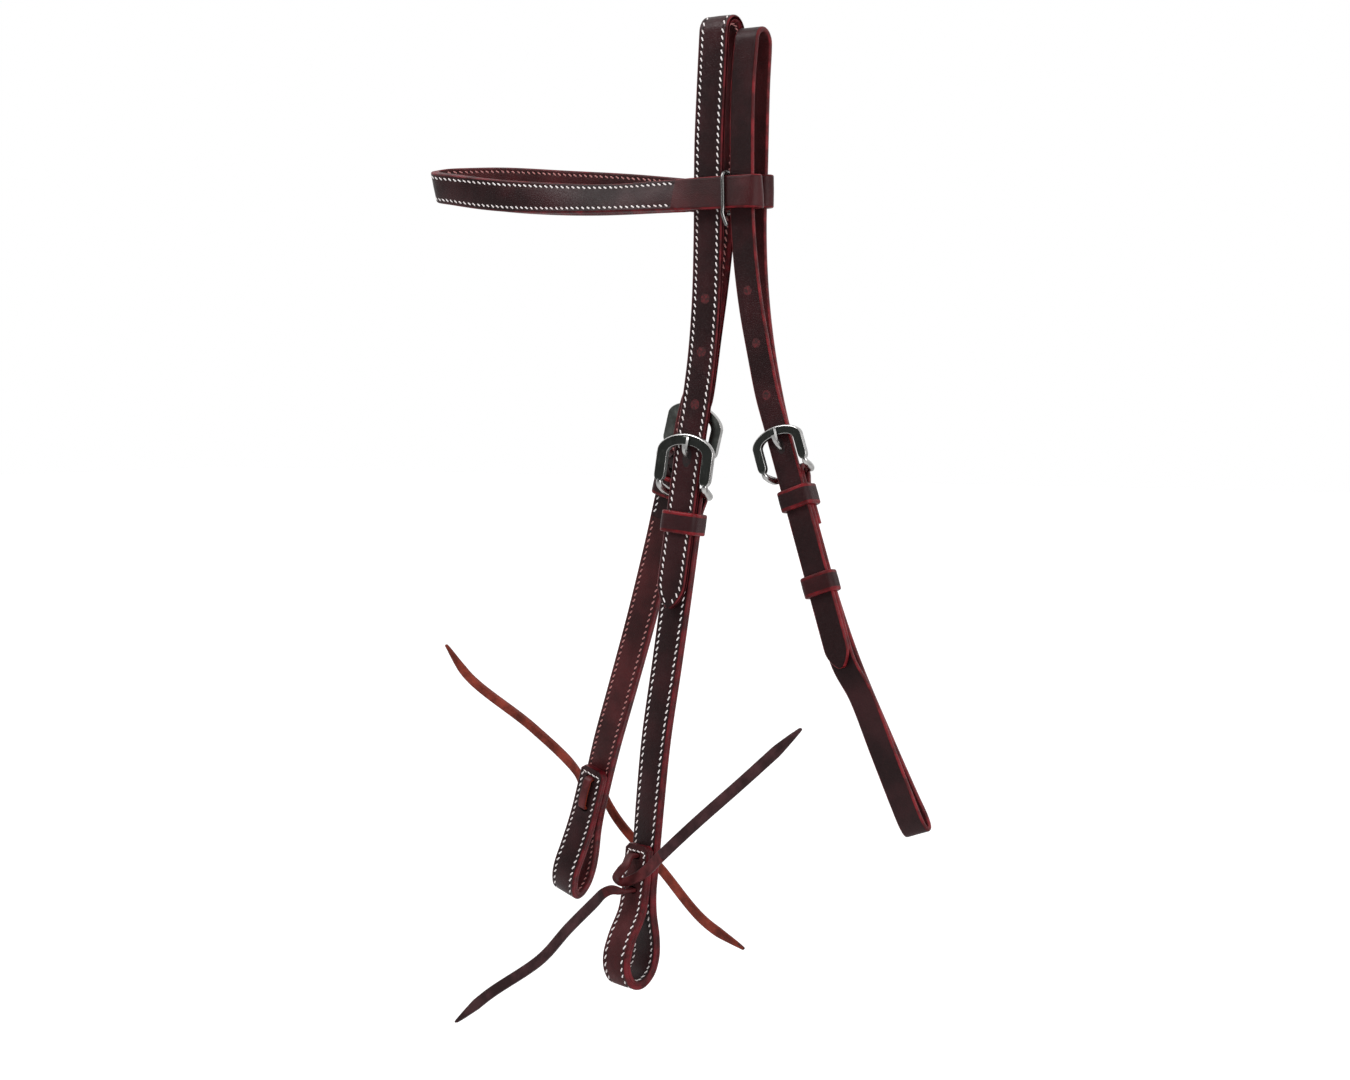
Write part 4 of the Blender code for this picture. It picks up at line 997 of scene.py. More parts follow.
class Throat:
    """Line and levels of the throatlatch and its buckle's seat."""

    def __init__(self):
        t = THROAT_THICKNESS
        start, end = spans(THROAT_BILLET_START_SHARES), spans(THROAT_BILLET_END_SHARES)
        direction = unit(end - start)
        self.hole = start + direction * THROAT_HOLE_FROM_START
        self.front = -(t + LAYER_GAP)
        self.back = self.front - t - LAYER_GAP
        self.radius = THROAT_BAR_RADIUS + PLY_GAP + t / 2
        self.bar_out = self.front - self.radius
        upright = np.array([1.0, 0.0, 0.0])
        self.seat = Seat(self.hole, start - end, upright, THROAT_BAR_TO_HOLE)
        seat = self.seat
        rows = chape_rows(self.bar_out, self.radius, self.front, self.back, THROAT_CHAPE_LENGTH)
        points = [seat.at(0.0, a, b) for a, b in rows]
        reach = np.linalg.norm(end - self.hole) - THROAT_BAR_TO_HOLE
        points += [seat.at(0.0, self.front, -reach * share) for share in (0.45, 0.70, 0.97)]
        sides = [seat.side] * len(points)
        lower = list(spans(THROAT_LOWER_SHARES))
        points += lower
        for place in lower:
            share = np.clip((place[2] - lower[8][2]) / (lower[-3][2] - lower[8][2]), 0.0, 1.0)
            share = share if len(sides) > len(rows) + 3 + 6 else 0.0
            sides.append(unit(seat.side * (1 - share) + upright * share))
        centre = -THROAT_THICKNESS / 2 - THROAT_ARCH_RADIUS - THROAT_TOP_DROP
        for degrees in range(180, -1, -20):
            angle = math.radians(degrees)
            y = -THROAT_ARCH_RADIUS * math.cos(angle)
            points.append((THROAT_X, y, centre + THROAT_ARCH_RADIUS * math.sin(angle)))
            sides.append(upright)
        near = list(spans(THROAT_NEAR_SHARES))
        points += near
        sides += [upright] * len(near)
        run = [start + (end - start) * share for share in (0.0, 0.12, 0.3, 0.6, 1.0)]
        points += run
        sides += [seat.side] * len(run)
        self.route = Route(points, sides)
        self.hole_at = self.route.length - np.linalg.norm(end - self.hole)


PLY_SHOWN = PLY + PLY_GAP / 2 - SEAM_GAP / 2
PLY_MIDDLE = PLY_SHOWN / 2 + SEAM_GAP / 2


def pointed(start, end, width, point):
    """Width along a strap whose two ends taper to a blunt point."""

    def width_at(s):
        left = min(s - start, end - s)
        if left >= point:
            return width
        share = max(left, 0.0) / point
        return POINT_WIDTH + (width - POINT_WIDTH) * math.sin(share * math.pi / 2) ** 0.8

    return width_at


def show(name, bm, finishes, body, stands_for):
    """Closes a piece's mesh and puts it on its body in place of its CAD nodes."""
    bmesh.ops.recalc_face_normals(bm, faces=bm.faces)
    for face in bm.faces:
        face.smooth = True
    for edge in bm.edges:
        faces = edge.link_faces
        edge.smooth = (
            len(faces) == 2
            and faces[0].material_index == faces[1].material_index
            and edge.calc_face_angle(0.0) < SHARP_ANGLE
        )
    mesh = bpy.data.meshes.new(name)
    bm.to_mesh(mesh)
    bm.free()
    piece = bpy.data.objects.new(name, mesh)
    collection().objects.link(piece)
    for finish in finishes:
        mesh.materials.append(look(finish))
    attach(piece, body)
    if stands_for:
        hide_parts(*stands_for)
    return piece


def collection():
    found = bpy.data.collections.get("headstall_looks")
    if found is None:
        found = bpy.data.collections.new("headstall_looks")
        bpy.context.scene.collection.children.link(found)
    return found


def run_length(rings):
    """How far it is along the rings from the first to the last."""
    return sum(float(np.linalg.norm(b[0] - a[0])) for a, b in zip(rings, rings[1:]))


def second_finish(bm, index, chosen):
    """Gives the faces that the rule picks, by their way along and round the strap, another finish."""
    uv = bm.loops.layers.uv["strap"]
    for face in bm.faces:
        if face.material_index == 0:
            along = sum(corner[uv].uv.x for corner in face.loops) / len(face.loops)
            around = sum(corner[uv].uv.y for corner in face.loops) / len(face.loops)
            if chosen(along, around):
                face.material_index = index


def girth(bm):
    """How far it is once round the strap's section."""
    uv = bm.loops.layers.uv["strap"]
    return max(corner[uv].uv.y for face in bm.faces for corner in face.loops)


def punch(bm, places, wall):
    """Cuts round-edged holes through a strap: each place is (frame, width, length, depth, finish)."""
    body = bpy.data.meshes.new("strap_body")
    bm.to_mesh(body)
    holder = bpy.data.objects.new("strap_body", body)
    tool_bm = bmesh.new()
    for (point, along, side, out), width, length, depth, finish in places:
        before_this = set(tool_bm.faces)
        profile = (
            (width / 2 + HOLE_MOUTH, -depth),
            (width / 2 + HOLE_LIP, -depth * wall),
            (width / 2, -depth * wall + HOLE_LIP_DEPTH),
            (width / 2, depth * wall - HOLE_LIP_DEPTH),
            (width / 2 + HOLE_LIP, depth * wall),
            (width / 2 + HOLE_MOUTH, depth),
        )
        made = bmesh.ops.create_circle(tool_bm, segments=HOLE_SIDES, radius=profile[0][0], cap_ends=True)
        ring = list(made["verts"])
        lid = [face for face in tool_bm.faces if all(vert in set(ring) for vert in face.verts)]
        bmesh.ops.translate(tool_bm, verts=ring, vec=(0.0, 0.0, profile[0][1]))
        everything = list(ring)
        for (before, low), (radius, high) in zip(profile, profile[1:]):
            pushed = bmesh.ops.extrude_face_region(tool_bm, geom=lid)["geom"]
            ring = [item for item in pushed if isinstance(item, bmesh.types.BMVert)]
            lid = [item for item in pushed if isinstance(item, bmesh.types.BMFace)]
            bmesh.ops.translate(tool_bm, verts=ring, vec=(0.0, 0.0, high - low))
            bmesh.ops.scale(tool_bm, verts=ring, vec=(radius / before, radius / before, 1.0))
            everything += ring
        bmesh.ops.scale(tool_bm, verts=everything, vec=(1.0, length / width, 1.0))
        rows = np.eye(4)
        rows[:3, 0] = side
        rows[:3, 1] = along
        rows[:3, 2] = out
        rows[:3, 3] = point
        bmesh.ops.transform(tool_bm, matrix=Matrix(rows.tolist()), verts=everything)
        for face in set(tool_bm.faces) - before_this:
            face.material_index = finish
    bmesh.ops.recalc_face_normals(tool_bm, faces=tool_bm.faces)
    tool_mesh = bpy.data.meshes.new("hole_punch")
    tool_bm.to_mesh(tool_mesh)
    tool_bm.free()
    tool = bpy.data.objects.new("hole_punch", tool_mesh)
    for mesh in (body, tool_mesh):
        for _ in WALLS:
            mesh.materials.append(None)
    collection().objects.link(holder)
    collection().objects.link(tool)
    cut = holder.modifiers.new("Punch", "BOOLEAN")
    cut.operation = "DIFFERENCE"
    cut.solver = "EXACT"
    cut.object = tool
    bpy.context.view_layer.update()
    result = bpy.data.meshes.new_from_object(
        holder.evaluated_get(bpy.context.evaluated_depsgraph_get())
    )
    made = bmesh.new()
    made.from_mesh(result)
    bm.free()
    for obj in (holder, tool):
        bpy.data.objects.remove(obj, do_unlink=True)
    for mesh in (body, tool_mesh, result):
        bpy.data.meshes.remove(mesh)
    return made


def one_stitch(sewing):
    """A slanted thread's bead, whose ends dive into the leather; its rim value grows to 1 there."""
    bead = bmesh.new()
    rim = bead.verts.layers.float.new("rim")
    bmesh.ops.create_uvsphere(bead, u_segments=THREAD_SIDES, v_segments=THREAD_RINGS, radius=1.0)
    bmesh.ops.rotate(bead, cent=(0, 0, 0), matrix=Matrix.Rotation(math.pi / 2, 3, "X"), verts=bead.verts)
    for vert in bead.verts:
        vert[rim] = abs(vert.co.y)
        fuller = 1.0 + 0.22 * (1.0 - abs(2 * abs(vert.co.y) - 1.0))
        vert.co.x *= fuller
        vert.co.z = vert.co.z * fuller * 0.80 - 0.55 * vert.co.y ** 2
    bmesh.ops.scale(bead, vec=(sewing.thread / 2, sewing.length / 2, sewing.thread / 2), verts=bead.verts)
    return bead


def one_hole():
    """A flat dark disc of painted shade for the mouth of a needle hole, longest along the row."""
    lens = bmesh.new()
    lens.verts.layers.float.new("rim")
    made = bmesh.ops.create_cone(
        lens, cap_ends=True, segments=NEEDLE_SIDES, radius1=0.9, radius2=1.0, depth=0.00008
    )
    bmesh.ops.scale(lens, vec=(*NEEDLE_HOLE, 1.0), verts=made["verts"])
    for face in lens.faces:
        face.material_index = 1
    return lens


def sew(name, runs, body, finish):
    """Lays one slanted stitch after another along every run, with a disc of painted shade for a needle hole
    between each two.
    """
    sewing = bpy.context.scene.headstall_sewing
    bm = bmesh.new()
    bm.verts.layers.float.new("rim")
    rng = np.random.default_rng(STITCH_SEED)
    for shape, shift in ((one_stitch(sewing), 0.5), (one_hole(), 0.0)):
        mesh = bpy.data.meshes.new("one_stitch")
        shape.to_mesh(mesh)
        shape.free()
        rest = np.array([vert.co for vert in mesh.vertices], float)
        hole = shift == 0.0
        for run in runs:
            count = max(1, round((run["end"] - run["start"]) / sewing.pitch))
            facing = run["facing"]
            for i in range(count + 1 if hole else count):
                s = run["start"] + (run["end"] - run["start"]) * (i + shift) / count
                point, along, side, out = run["route"].frame(s)
                across = run["across"](s) if callable(run["across"]) else run["across"]
                angle = (sewing.slant + rng.normal(0.0, 0.05)) * run["slant"] * facing
                angle = (0.0 if hole else angle) + run.get("turn", 0.0)
                reach = along * math.cos(angle) + side * math.sin(angle)
                wide = side * math.cos(angle) - along * math.sin(angle)
                level = run["level"] - GROOVE_DEPTH * (0.55 if hole else 0.6)
                centre = point + side * across + out * facing * level
                centre = centre + along * rng.normal(0.0, 0.00006) + side * rng.normal(0.0, 0.00004)
                stretch = 1.0 + rng.normal(0.0, 0.04)
                placed = (
                    centre
                    + rest[:, :1] * wide * facing
                    + rest[:, 1:2] * reach * stretch
                    + rest[:, 2:] * out * facing
                )
                mesh.vertices.foreach_set("co", placed.astype(np.float32).ravel())
                bm.from_mesh(mesh)
        bpy.data.meshes.remove(mesh)
    return show(name, bm, [finish, "needle_hole_shade"], body, ())


def rows_of(route, start, end, level, facing, slant, width_at=None):
    """The two rows of stitches along both edges of a face."""
    wide = width_at or (lambda s: STRAP_WIDTH)
    return [
        {
            "route": route, "start": start, "end": end, "level": level, "facing": facing,
            "slant": slant, "across": lambda s, sign=sign: sign * (wide(s) / 2 - STITCH_INSET),
        }
        for sign in (1, -1)
    ]


def row_across(route, at, level, facing):
    """A few stitches side by side across a bit loop's turned-back end."""
    middle = (LOOP_SEAM_STITCHES - 1) / 2
    return [
        {
            "route": route, "start": at, "end": at + 0.0001, "level": level, "facing": facing,
            "slant": 0.4, "across": (i - middle) * LOOP_SEAM_SPACING, "turn": math.pi / 2,
        }
        for i in range(LOOP_SEAM_STITCHES)
    ]


class HEADSTALL_OT_crown(Operator):
    """Builds the two plies of the crown with their holes, points and stitches"""

    bl_idname = "headstall.crown"
    bl_label = "Crown straps"

    def execute(self, context):
        route = crown_line()
        ends = [BILLET_POINT * share for share in POINT_STEP_SHARES]
        ends += [route.length - s for s in ends]
        stations = fine_stations(route, 0.0, route.length, ends=ends)
        width_at = pointed(0.0, route.length, STRAP_WIDTH, BILLET_POINT)
        holes = []
        for side, sign in (("near", 1), ("far", -1)):
            s_hole = route.nearest(billet(side)[2])
            for i in range(HOLES_PER_BILLET):
                length = TONGUE_HOLE_LENGTH if i == 0 else HOLE_DIAMETER
                holes.append((s_hole + sign * i * HOLE_PITCH, length))
        for name, facing, finish, slot in (
            ("crown_outer", 1, "oiled_grain", "strap_leather"),
            ("crown_lining", -1, "oiled_lining", "lining_leather"),
        ):
            edges = (STRAP_EDGE, GLUED_EDGE) if facing > 0 else (GLUED_EDGE, STRAP_EDGE)
            sections = [
                rounded_section(width_at(s), PLY_SHOWN, *edges, facing > 0, facing < 0)
                for s in stations
            ]
            bm = sweep(route.rings(stations, PLY_MIDDLE * facing), sections)
            places = []
            for s, length in holes:
                point, along, side, out = route.frame(s)
                middle = point + out * PLY_MIDDLE * facing
                wall = 2 if length > HOLE_DIAMETER else 1
                places.append(((middle, along, side, out), HOLE_DIAMETER, length, PLY_SHOWN, wall))
            bm = punch(bm, places, 0.5)
            show(name + "_ply", bm, [finish, *WALLS[1:]], "headstall", (name,))
        tip = BILLET_POINT * 0.16
        level = PLY + PLY_GAP / 2
        for name, facing, thread, slot in (
            ("crown_outer_stitches", 1, "white_thread", "strap_leather"),
            ("crown_lining_stitches", -1, "stained_thread", "lining_leather"),
        ):
            runs = rows_of(route, tip, route.length - tip, level, facing, -1, width_at)
            sew(name, runs, "headstall", thread)
        return {"FINISHED"}


def build_cheek(side):
    """One cheek's two plies, with its chape slot, lace holes and stitches."""
    cheek = Cheek(side)
    route, chape = cheek.route, cheek.chape
    lining_finish = "loop_lining" if side == "near" else "oiled_lining"
    doubled = fine_stations(route, cheek.butt, route.length)
    doubled = sorted(set(doubled + [route.length - LOOP_CORNER, route.length - LOOP_CORNER * 0.5]))

    def width_at(s):
        left = route.length - s
        return STRAP_WIDTH - 2 * LOOP_CORNER * max(0.0, 1 - left / LOOP_CORNER)

    fold = fine_stations(chape, 0.0, chape.length)
    inner = (PLY_SHOWN - PLY) / 2
    rings = chape.rings(fold, inner) + route.rings(doubled, -PLY_MIDDLE)
    sections = [rounded_section(STRAP_WIDTH, PLY_SHOWN, GLUED_EDGE, STRAP_EDGE, False, True)] * len(fold)
    sections += [
        rounded_section(width_at(s), PLY_SHOWN, GLUED_EDGE, STRAP_EDGE, False, True) for s in doubled
    ]
    outer = sweep(rings, sections)
    butted = [doubled[0] - PLY_GAP * 0.9] + doubled[1:]
    lined = [rounded_section(width_at(s), PLY_SHOWN, STRAP_EDGE, GLUED_EDGE, True, False) for s in butted]
    lining = sweep(route.rings(butted, PLY_MIDDLE), lined)
    holes = []
    for share in LACE_HOLE_SHARES:
        point = cheek.at_loop(0.0, cheek.turned_back / 2, LOOP_LENGTH * share)
        place = (point, cheek.down, cheek.lateral, cheek.out)
        holes.append((place, LACE_SLOT_WIDTH, LACE_SLOT_HEIGHT, PLY * 3.5, 2))
    reach = cheek.radius + (PLY + LAYER_GAP) / 2
    slot = (cheek.seat.slot_place(cheek.bar_out), CHAPE_SLOT_WIDTH, CHAPE_SLOT_DEPTH, reach, 2)
    outer = punch(outer, holes + [slot], 0.9)
    lining = punch(lining, holes, 0.9)
    show(
        f"{side}_cheek_outer_ply", outer, ["oiled_grain", *WALLS[1:]], "headstall",
        (f"{side}_cheek_outer",),
    )
    show(
        f"{side}_cheek_lining_ply", lining, [lining_finish, *WALLS[1:]], "headstall",
        (f"{side}_cheek_lining",),
    )
    level = PLY + PLY_GAP / 2
    start, end = cheek.butt + 0.0012, route.length - LOOP_SEAM
    outer_runs = rows_of(route, start, end, level, -1, 1)
    outer_runs += row_across(route, end, level, -1)
    fold_runs = rows_of(chape, 0.0016, CHAPE_LENGTH * 0.58, PLY / 2, -1, 1)
    fold_end = chape.length
    fold_runs += rows_of(chape, fold_end - CHAPE_LENGTH * 0.40, fold_end + 0.001, PLY / 2, -1, 1)
    sew(f"{side}_cheek_outer_stitches", outer_runs + fold_runs, "headstall", "white_thread")
    lining_runs = rows_of(route, start, end, level, 1, 1)
    lining_runs += row_across(route, end, level, 1)
    thread = "white_thread" if side == "near" else "stained_thread"
    sew(f"{side}_cheek_lining_stitches", lining_runs, "headstall", thread)


class HEADSTALL_OT_near_cheek(Operator):
    """Builds the near cheek, folded round its buckle and looped for the bit"""

    bl_idname = "headstall.near_cheek"
    bl_label = "Near cheek"

    def execute(self, context):
        build_cheek("near")
        return {"FINISHED"}


class HEADSTALL_OT_far_cheek(Operator):
    """Builds the far cheek, folded round its buckle and looped for the bit"""

    bl_idname = "headstall.far_cheek"
    bl_label = "Far cheek"

    def execute(self, context):
        build_cheek("far")
        return {"FINISHED"}


class HEADSTALL_OT_browband(Operator):
    """Builds the doubled browband and its single-ply end loops"""

    bl_idname = "headstall.browband"
    bl_label = "Browband"

    def execute(self, context):
        offset = (PLY + PLY_GAP) / 2
        middle = browband_line()
        sewn = BAND_SEWN_END
        far_end = middle.length
        low, high = sewn + PLY_GAP, far_end - sewn - PLY_GAP
        near_start = middle.rings([sewn, sewn / 2, 0.0], -offset)
        far_start = middle.rings([far_end - sewn, far_end - sewn / 2, far_end], -offset)
        near = loop_points(
            -1, NEAR_LOOP_FRONT, NEAR_LOOP_END, NEAR_LOOP_Z, NEAR_LOOP_EDGE, NEAR_LOOP_LEAN_DEG, near_start
        )
        far = loop_points(1, FAR_LOOP_FRONT, FAR_LOOP_END, FAR_LOOP_Z, FAR_LOOP_EDGE, 0, far_start)
        doubled = fine_stations(middle, 0.0, far_end)
        band = middle.rings(doubled, PLY_MIDDLE)
        loops = []
        for places, sides, joined in (near + (band[0],), far + (band[-1],)):
            route = Route(list(places) + [joined[0]], list(sides) + [joined[1]])
            loops.append(route.rings(fine_stations(route, 0.0, route.length))[:-1])
        near_loop = loops[0]
        far_loop = [(point, side, -out) for point, side, out in loops[1][::-1]]
        single = rounded_section(STRAP_WIDTH, PLY_SHOWN, STRAP_EDGE, STRAP_EDGE * 0.7)
        sewn_ply = rounded_section(STRAP_WIDTH, PLY_SHOWN, STRAP_EDGE, GLUED_EDGE, True, False)
        single = match_sections(single, sewn_ply)
        sections = [single] * len(near_loop) + [sewn_ply] * len(band) + [single] * len(far_loop)
        outer = sweep(near_loop + band + far_loop, sections)
        before_band = run_length(near_loop + band[:1])
        after_band = before_band + run_length(band)
        second_finish(outer, 1, lambda u, v: u < before_band or u > after_band)
        show(
            "browband_outer_ply", outer, ["oiled_grain", "loop_grain"], "browband", ("browband_outer",),
        )
        lined = fine_stations(middle, low, high)
        section = rounded_section(STRAP_WIDTH, PLY_SHOWN, GLUED_EDGE, STRAP_EDGE, False, True)
        lining = sweep(middle.rings(lined, -PLY_MIDDLE), [section] * len(lined))
        show(
            "browband_lining_ply", lining, ["oiled_lining"], "browband", ("browband_lining",),
        )
        level = PLY + PLY_GAP / 2
        runs = rows_of(middle, 0.0010, far_end - 0.0010, level, 1, 1)
        sew("browband_outer_stitches", runs, "browband", "white_thread")
        runs = rows_of(middle, low + 0.001, high - 0.001, level, -1, 1)
        sew("browband_lining_stitches", runs, "browband", "stained_thread")
        return {"FINISHED"}


def match_sections(section, pattern):
    """The same outline with as many corners as the pattern, by halving its longest sides."""
    section = list(section)
    while len(section) < len(pattern):
        lengths = [math.dist(a[:2], b[:2]) for a, b in zip(section, section[1:] + section[:1])]
        i = int(np.argmax(lengths))
        a, b = section[i], section[(i + 1) % len(section)]
        section.insert(i + 1, tuple((x + y) / 2 for x, y in zip(a[:2], b[:2])) + (min(a[2], b[2]),))
    return section


class HEADSTALL_OT_throatlatch(Operator):
    """Builds the one-piece throatlatch with its punched billet"""

    bl_idname = "headstall.throatlatch"
    bl_label = "Throatlatch"

    def execute(self, context):
        throat = Throat()
        route = throat.route
        t = THROAT_THICKNESS
        ends = [route.length - THROAT_POINT * share for share in POINT_STEP_SHARES]
        stations = fine_stations(route, 0.0, route.length, ends=ends)
        width_at = pointed(-route.length, route.length, THROAT_WIDTH, THROAT_POINT)
        sections = [rounded_section(width_at(s), t, STRAP_EDGE, STRAP_EDGE) for s in stations]
        bm = sweep(route.rings(stations), sections)
        holes = []
        for i in range(HOLES_PER_BILLET):
            length = TONGUE_HOLE_LENGTH * 0.8 if i == 0 else HOLE_DIAMETER * 0.9
            place = route.frame(throat.hole_at - i * HOLE_PITCH)
            holes.append((place, HOLE_DIAMETER * 0.9, length, t, 1 if i else 2))
        reach = throat.radius + (t + LAYER_GAP) / 2
        slot_place = throat.seat.slot_place(throat.bar_out)
        holes.append((slot_place, CHAPE_SLOT_WIDTH, CHAPE_SLOT_DEPTH * 0.9, reach, 2))
        half = girth(bm) / 2
        bm = punch(bm, holes, 0.5)
        second_finish(bm, len(WALLS), lambda u, v: v < half)
        show(
            "throatlatch_strap", bm, ["red_edged_grain", *WALLS[1:], "red_edged_flesh"], "throatlatch",
            ("throatlatch",),
        )
        return {"FINISHED"}


def ring_path(seat, middle_up, low_out, high_out, width):
    """Rings round a keeper, from the middle of its back and round to it again."""
    w = width / 2 + KEEPER_PLAY + KEEPER_LEATHER / 2
    a = low_out - KEEPER_PLAY - KEEPER_LEATHER / 2
    b = high_out + KEEPER_PLAY + KEEPER_LEATHER / 2
    r = KEEPER_LEATHER * 1.25
    found = []

    def put(x, y, degrees):
        angle = math.radians(degrees)
        out = seat.side * math.cos(angle) + seat.out * math.sin(angle)
        found.append((seat.at(x, y, middle_up), seat.up, out))

    for share in (0.02, 0.5, 1.0):
        put((w - r) * share, a, 270)
    for cx, cy, start in ((w - r, a + r, 270), (w - r, b - r, 0), (r - w, b - r, 90), (r - w, a + r, 180)):
        if start != 270:
            for share in (0.33, 0.66):
                last = found[-1][0]
                turn = math.radians(start)
                target = seat.at(cx + r * math.cos(turn), cy + r * math.sin(turn), middle_up)
                place = last + (target - last) * share
                found.append((place, seat.up, found[-1][2]))
        for step in range(0, 91, 15):
            angle = math.radians(start + step)
            put(cx + r * math.cos(angle), cy + r * math.sin(angle), start + step)
    for share in (0.5, 0.02):
        put(-(w - r) * share, a, 270)
    return found


def build_keeper(name, seat, middle_up, low_out, high_out, width, height, finish, body):
    rings = ring_path(seat, middle_up, low_out, high_out, width)
    section = rounded_section(height, KEEPER_LEATHER, STRAP_EDGE, GLUED_EDGE, red=RED_RIM * 2)
    bm = sweep(rings, [section] * len(rings))
    show(name + "_loop", bm, [finish], body, (name,))


class HEADSTALL_OT_keepers(Operator):
    """Builds the four leather keepers as bent and butted strips"""

    bl_idname = "headstall.keepers"
    bl_label = "Keepers"

    def execute(self, context):
        for side in ("near", "far"):
            cheek = Cheek(side)
            build_keeper(
                f"{side}_cheek_keeper", cheek.seat, -KEEPER_BELOW_BAR, cheek.back - PLY / 2, cheek.layers,
                STRAP_WIDTH, KEEPER_HEIGHT, "red_edged_grain", "headstall",
            )
        throat = Throat()
        t = THROAT_THICKNESS
        build_keeper(
            "throat_fixed_keeper", throat.seat, -THROAT_FIXED_BELOW_BAR, throat.back - t / 2, t / 2,
            THROAT_WIDTH, THROAT_KEEPER_HEIGHT, "red_edged_grain", "throatlatch",
        )
        build_keeper(
            "throat_sliding_keeper", throat.seat, THROAT_BAR_TO_HOLE - THROAT_SLIDING_BELOW_HOLE,
            throat.front - t / 2, t / 2, THROAT_WIDTH, THROAT_KEEPER_HEIGHT, "red_keeper",
            "throat_keeper",
        )
        return {"FINISHED"}


class HEADSTALL_OT_laces(Operator):
    """Builds the two laces that close the bit loops"""

    bl_idname = "headstall.laces"
    bl_label = "Laces"

    def execute(self, context):
        for side, shares, degrees, knotted in (
            ("near", NEAR_LACE_SHARES, NEAR_LACE_ACROSS_DEG, (3, 21)),
            ("far", FAR_LACE_SHARES, FAR_LACE_ACROSS_DEG, (3, 19)),
        ):
            top, down, out = loop_of(side)
            lateral = np.cross(out, down)
            places, sides = [], []
            for (across, facing, along), angle in zip(spans(shares), degrees):
                turn = math.radians(angle)
                places.append(top + lateral * across + out * facing + down * along)
                sides.append(lateral * math.cos(turn) - down * math.sin(turn))
            route = Route(places, sides)
            knot = route.length / 2

            def width_at(s):
                left = min(s, route.length - s)
                if left < LACE_POINT:
                    return LACE_TIP_WIDTH + (LACE_WIDTH - LACE_TIP_WIDTH) * (left / LACE_POINT) ** 0.8
                near_knot = max(0.0, 1 - abs(s - knot) / (LACE_POINT * 3))
                return LACE_WIDTH - (LACE_WIDTH - LACE_KNOT_WIDTH) * min(1.0, near_knot * 3)

            ends = [LACE_POINT * share for share in (0.1, 0.25, 0.5, 0.75)]
            ends += [route.length - s for s in ends]
            low, high = (route.nearest(places[i]) for i in knotted)
            stations = fine_stations(route, 0.0, route.length, step=0.0022, ends=ends + [low, high])
            for name, first, last in (
                ("upper_tail", 0.0, low), ("knot", low, high), ("lower_tail", high, route.length)
            ):
                own = [s for s in stations if first <= s <= last]
                sections = [rounded_section(width_at(s), LACE_THICKNESS, 0.0005, 0.0005) for s in own]
                bm = sweep(route.rings(own), sections)
                half = girth(bm) / 2
                second_finish(bm, 1, lambda u, v: v >= half)
                stands_for = (f"{side}_lace",) if name == "knot" else ()
                front = "knot_latigo" if name == "knot" else "near_latigo"
                back = "knot_latigo" if name == "knot" and side == "near" else f"{side}_latigo"
                piece = show(
                    f"{side}_lace_{name}", bm, [front, back], "headstall", stands_for
                )
                if name != "knot":
                    way = own[::-1] if name == "upper_tail" else own
                    path = [tuple(route.frame(s)[0]) for s in way]
                    last - first
        return {"FINISHED"}


def frame_size(throat):
    """(rail, rail width, frame width, opening, arch rise, foot) of a buckle's flat front."""
    if throat:
        return (
            THROAT_BAR_TO_RAIL, THROAT_RAIL_WIDTH, THROAT_FRAME_WIDTH, THROAT_OPENING_WIDTH,
            RAIL_ARCH_RISE * 0.8, RAIL_FOOT * 0.8,
        )
    return BAR_TO_RAIL, RAIL_WIDTH, FRAME_WIDTH, OPENING_WIDTH, RAIL_ARCH_RISE, RAIL_FOOT


def arch_pairs(size):
    """Outer and inner places of the flat front, from the right rail's foot up to the crown of the arch."""
    rail, rail_width, frame_width, opening, rise, foot = size
    w, v = frame_width / 2, opening / 2
    top = rail + rail_width
    outer_base = top - rise * OUTER_ARCH_SHARE
    inner_base = rail - rise * INNER_ARCH_SHARE
    half = (w - v) / 2
    pairs = []
    for degrees in (8, 20, 34, 48, 62, 76, 90):
        angle = math.radians(degrees)
        reach = half * math.sin(angle)
        y = foot + RAIL_END_LENGTH * (1 - math.cos(angle))
        pairs.append(((w - half + reach, y), (w - half - reach, y)))
    start = foot + RAIL_END_LENGTH
    for share in (0.25, 0.5, 0.75):
        pairs.append((
            (w, start + (outer_base - start) * share), (v, start + (inner_base - start) * share),
        ))
    for degrees in range(0, 91, ARCH_STEP_DEG):
        c, s = max(0.0, math.cos(math.radians(degrees))), math.sin(math.radians(degrees))
        full, flat = 2 / OUTER_ARCH_POWER, 2 / INNER_ARCH_POWER
        outer = (w * c ** full, outer_base + (top - outer_base) * s ** full)
        inner = (v * c ** flat, inner_base + (rail - inner_base) * s ** flat)
        pairs.append((outer, inner))
    return pairs


def plate_section(width, thickness, drop, high):
    """A flat bar's corners with rounded bevels; its front, painted dark as a reflection of the room, keeps a
    rim value of one half.
    """
    w, t = width / 2, thickness / 2
    o = min(FRAME_OUTER_BEVEL * (0.45 + 0.55 * high), w * 0.5)
    i = min(FRAME_INNER_BEVEL, w * 0.4)
    front = t - drop
    return [
        (w - i, -t, 0.5), (w, -t + i, 1.0), (w, front - o * 0.80, 1.0), (w - o * 0.34, front - o * 0.26, 1.0),
        (w - o, front, 0.5), (-w + i, front, 0.5),
        (-w + i * 0.34, front - i * 0.26, 1.0), (-w, front - i * 0.80, 0.55), (-w, -t + i, 0.55),
        (-w + i, -t, 0.5),
    ]


def face_and_bevels(bm):
    """Gives the flat front its dark finish, a painted reflection of the dark room, and every other face the
    bright plate.
    """
    rim = bm.verts.layers.float["rim"]
    for face in bm.faces:
        shade = sum(vert[rim] for vert in face.verts) / len(face.verts)
        face.material_index = 0 if shade < 0.6 else 1


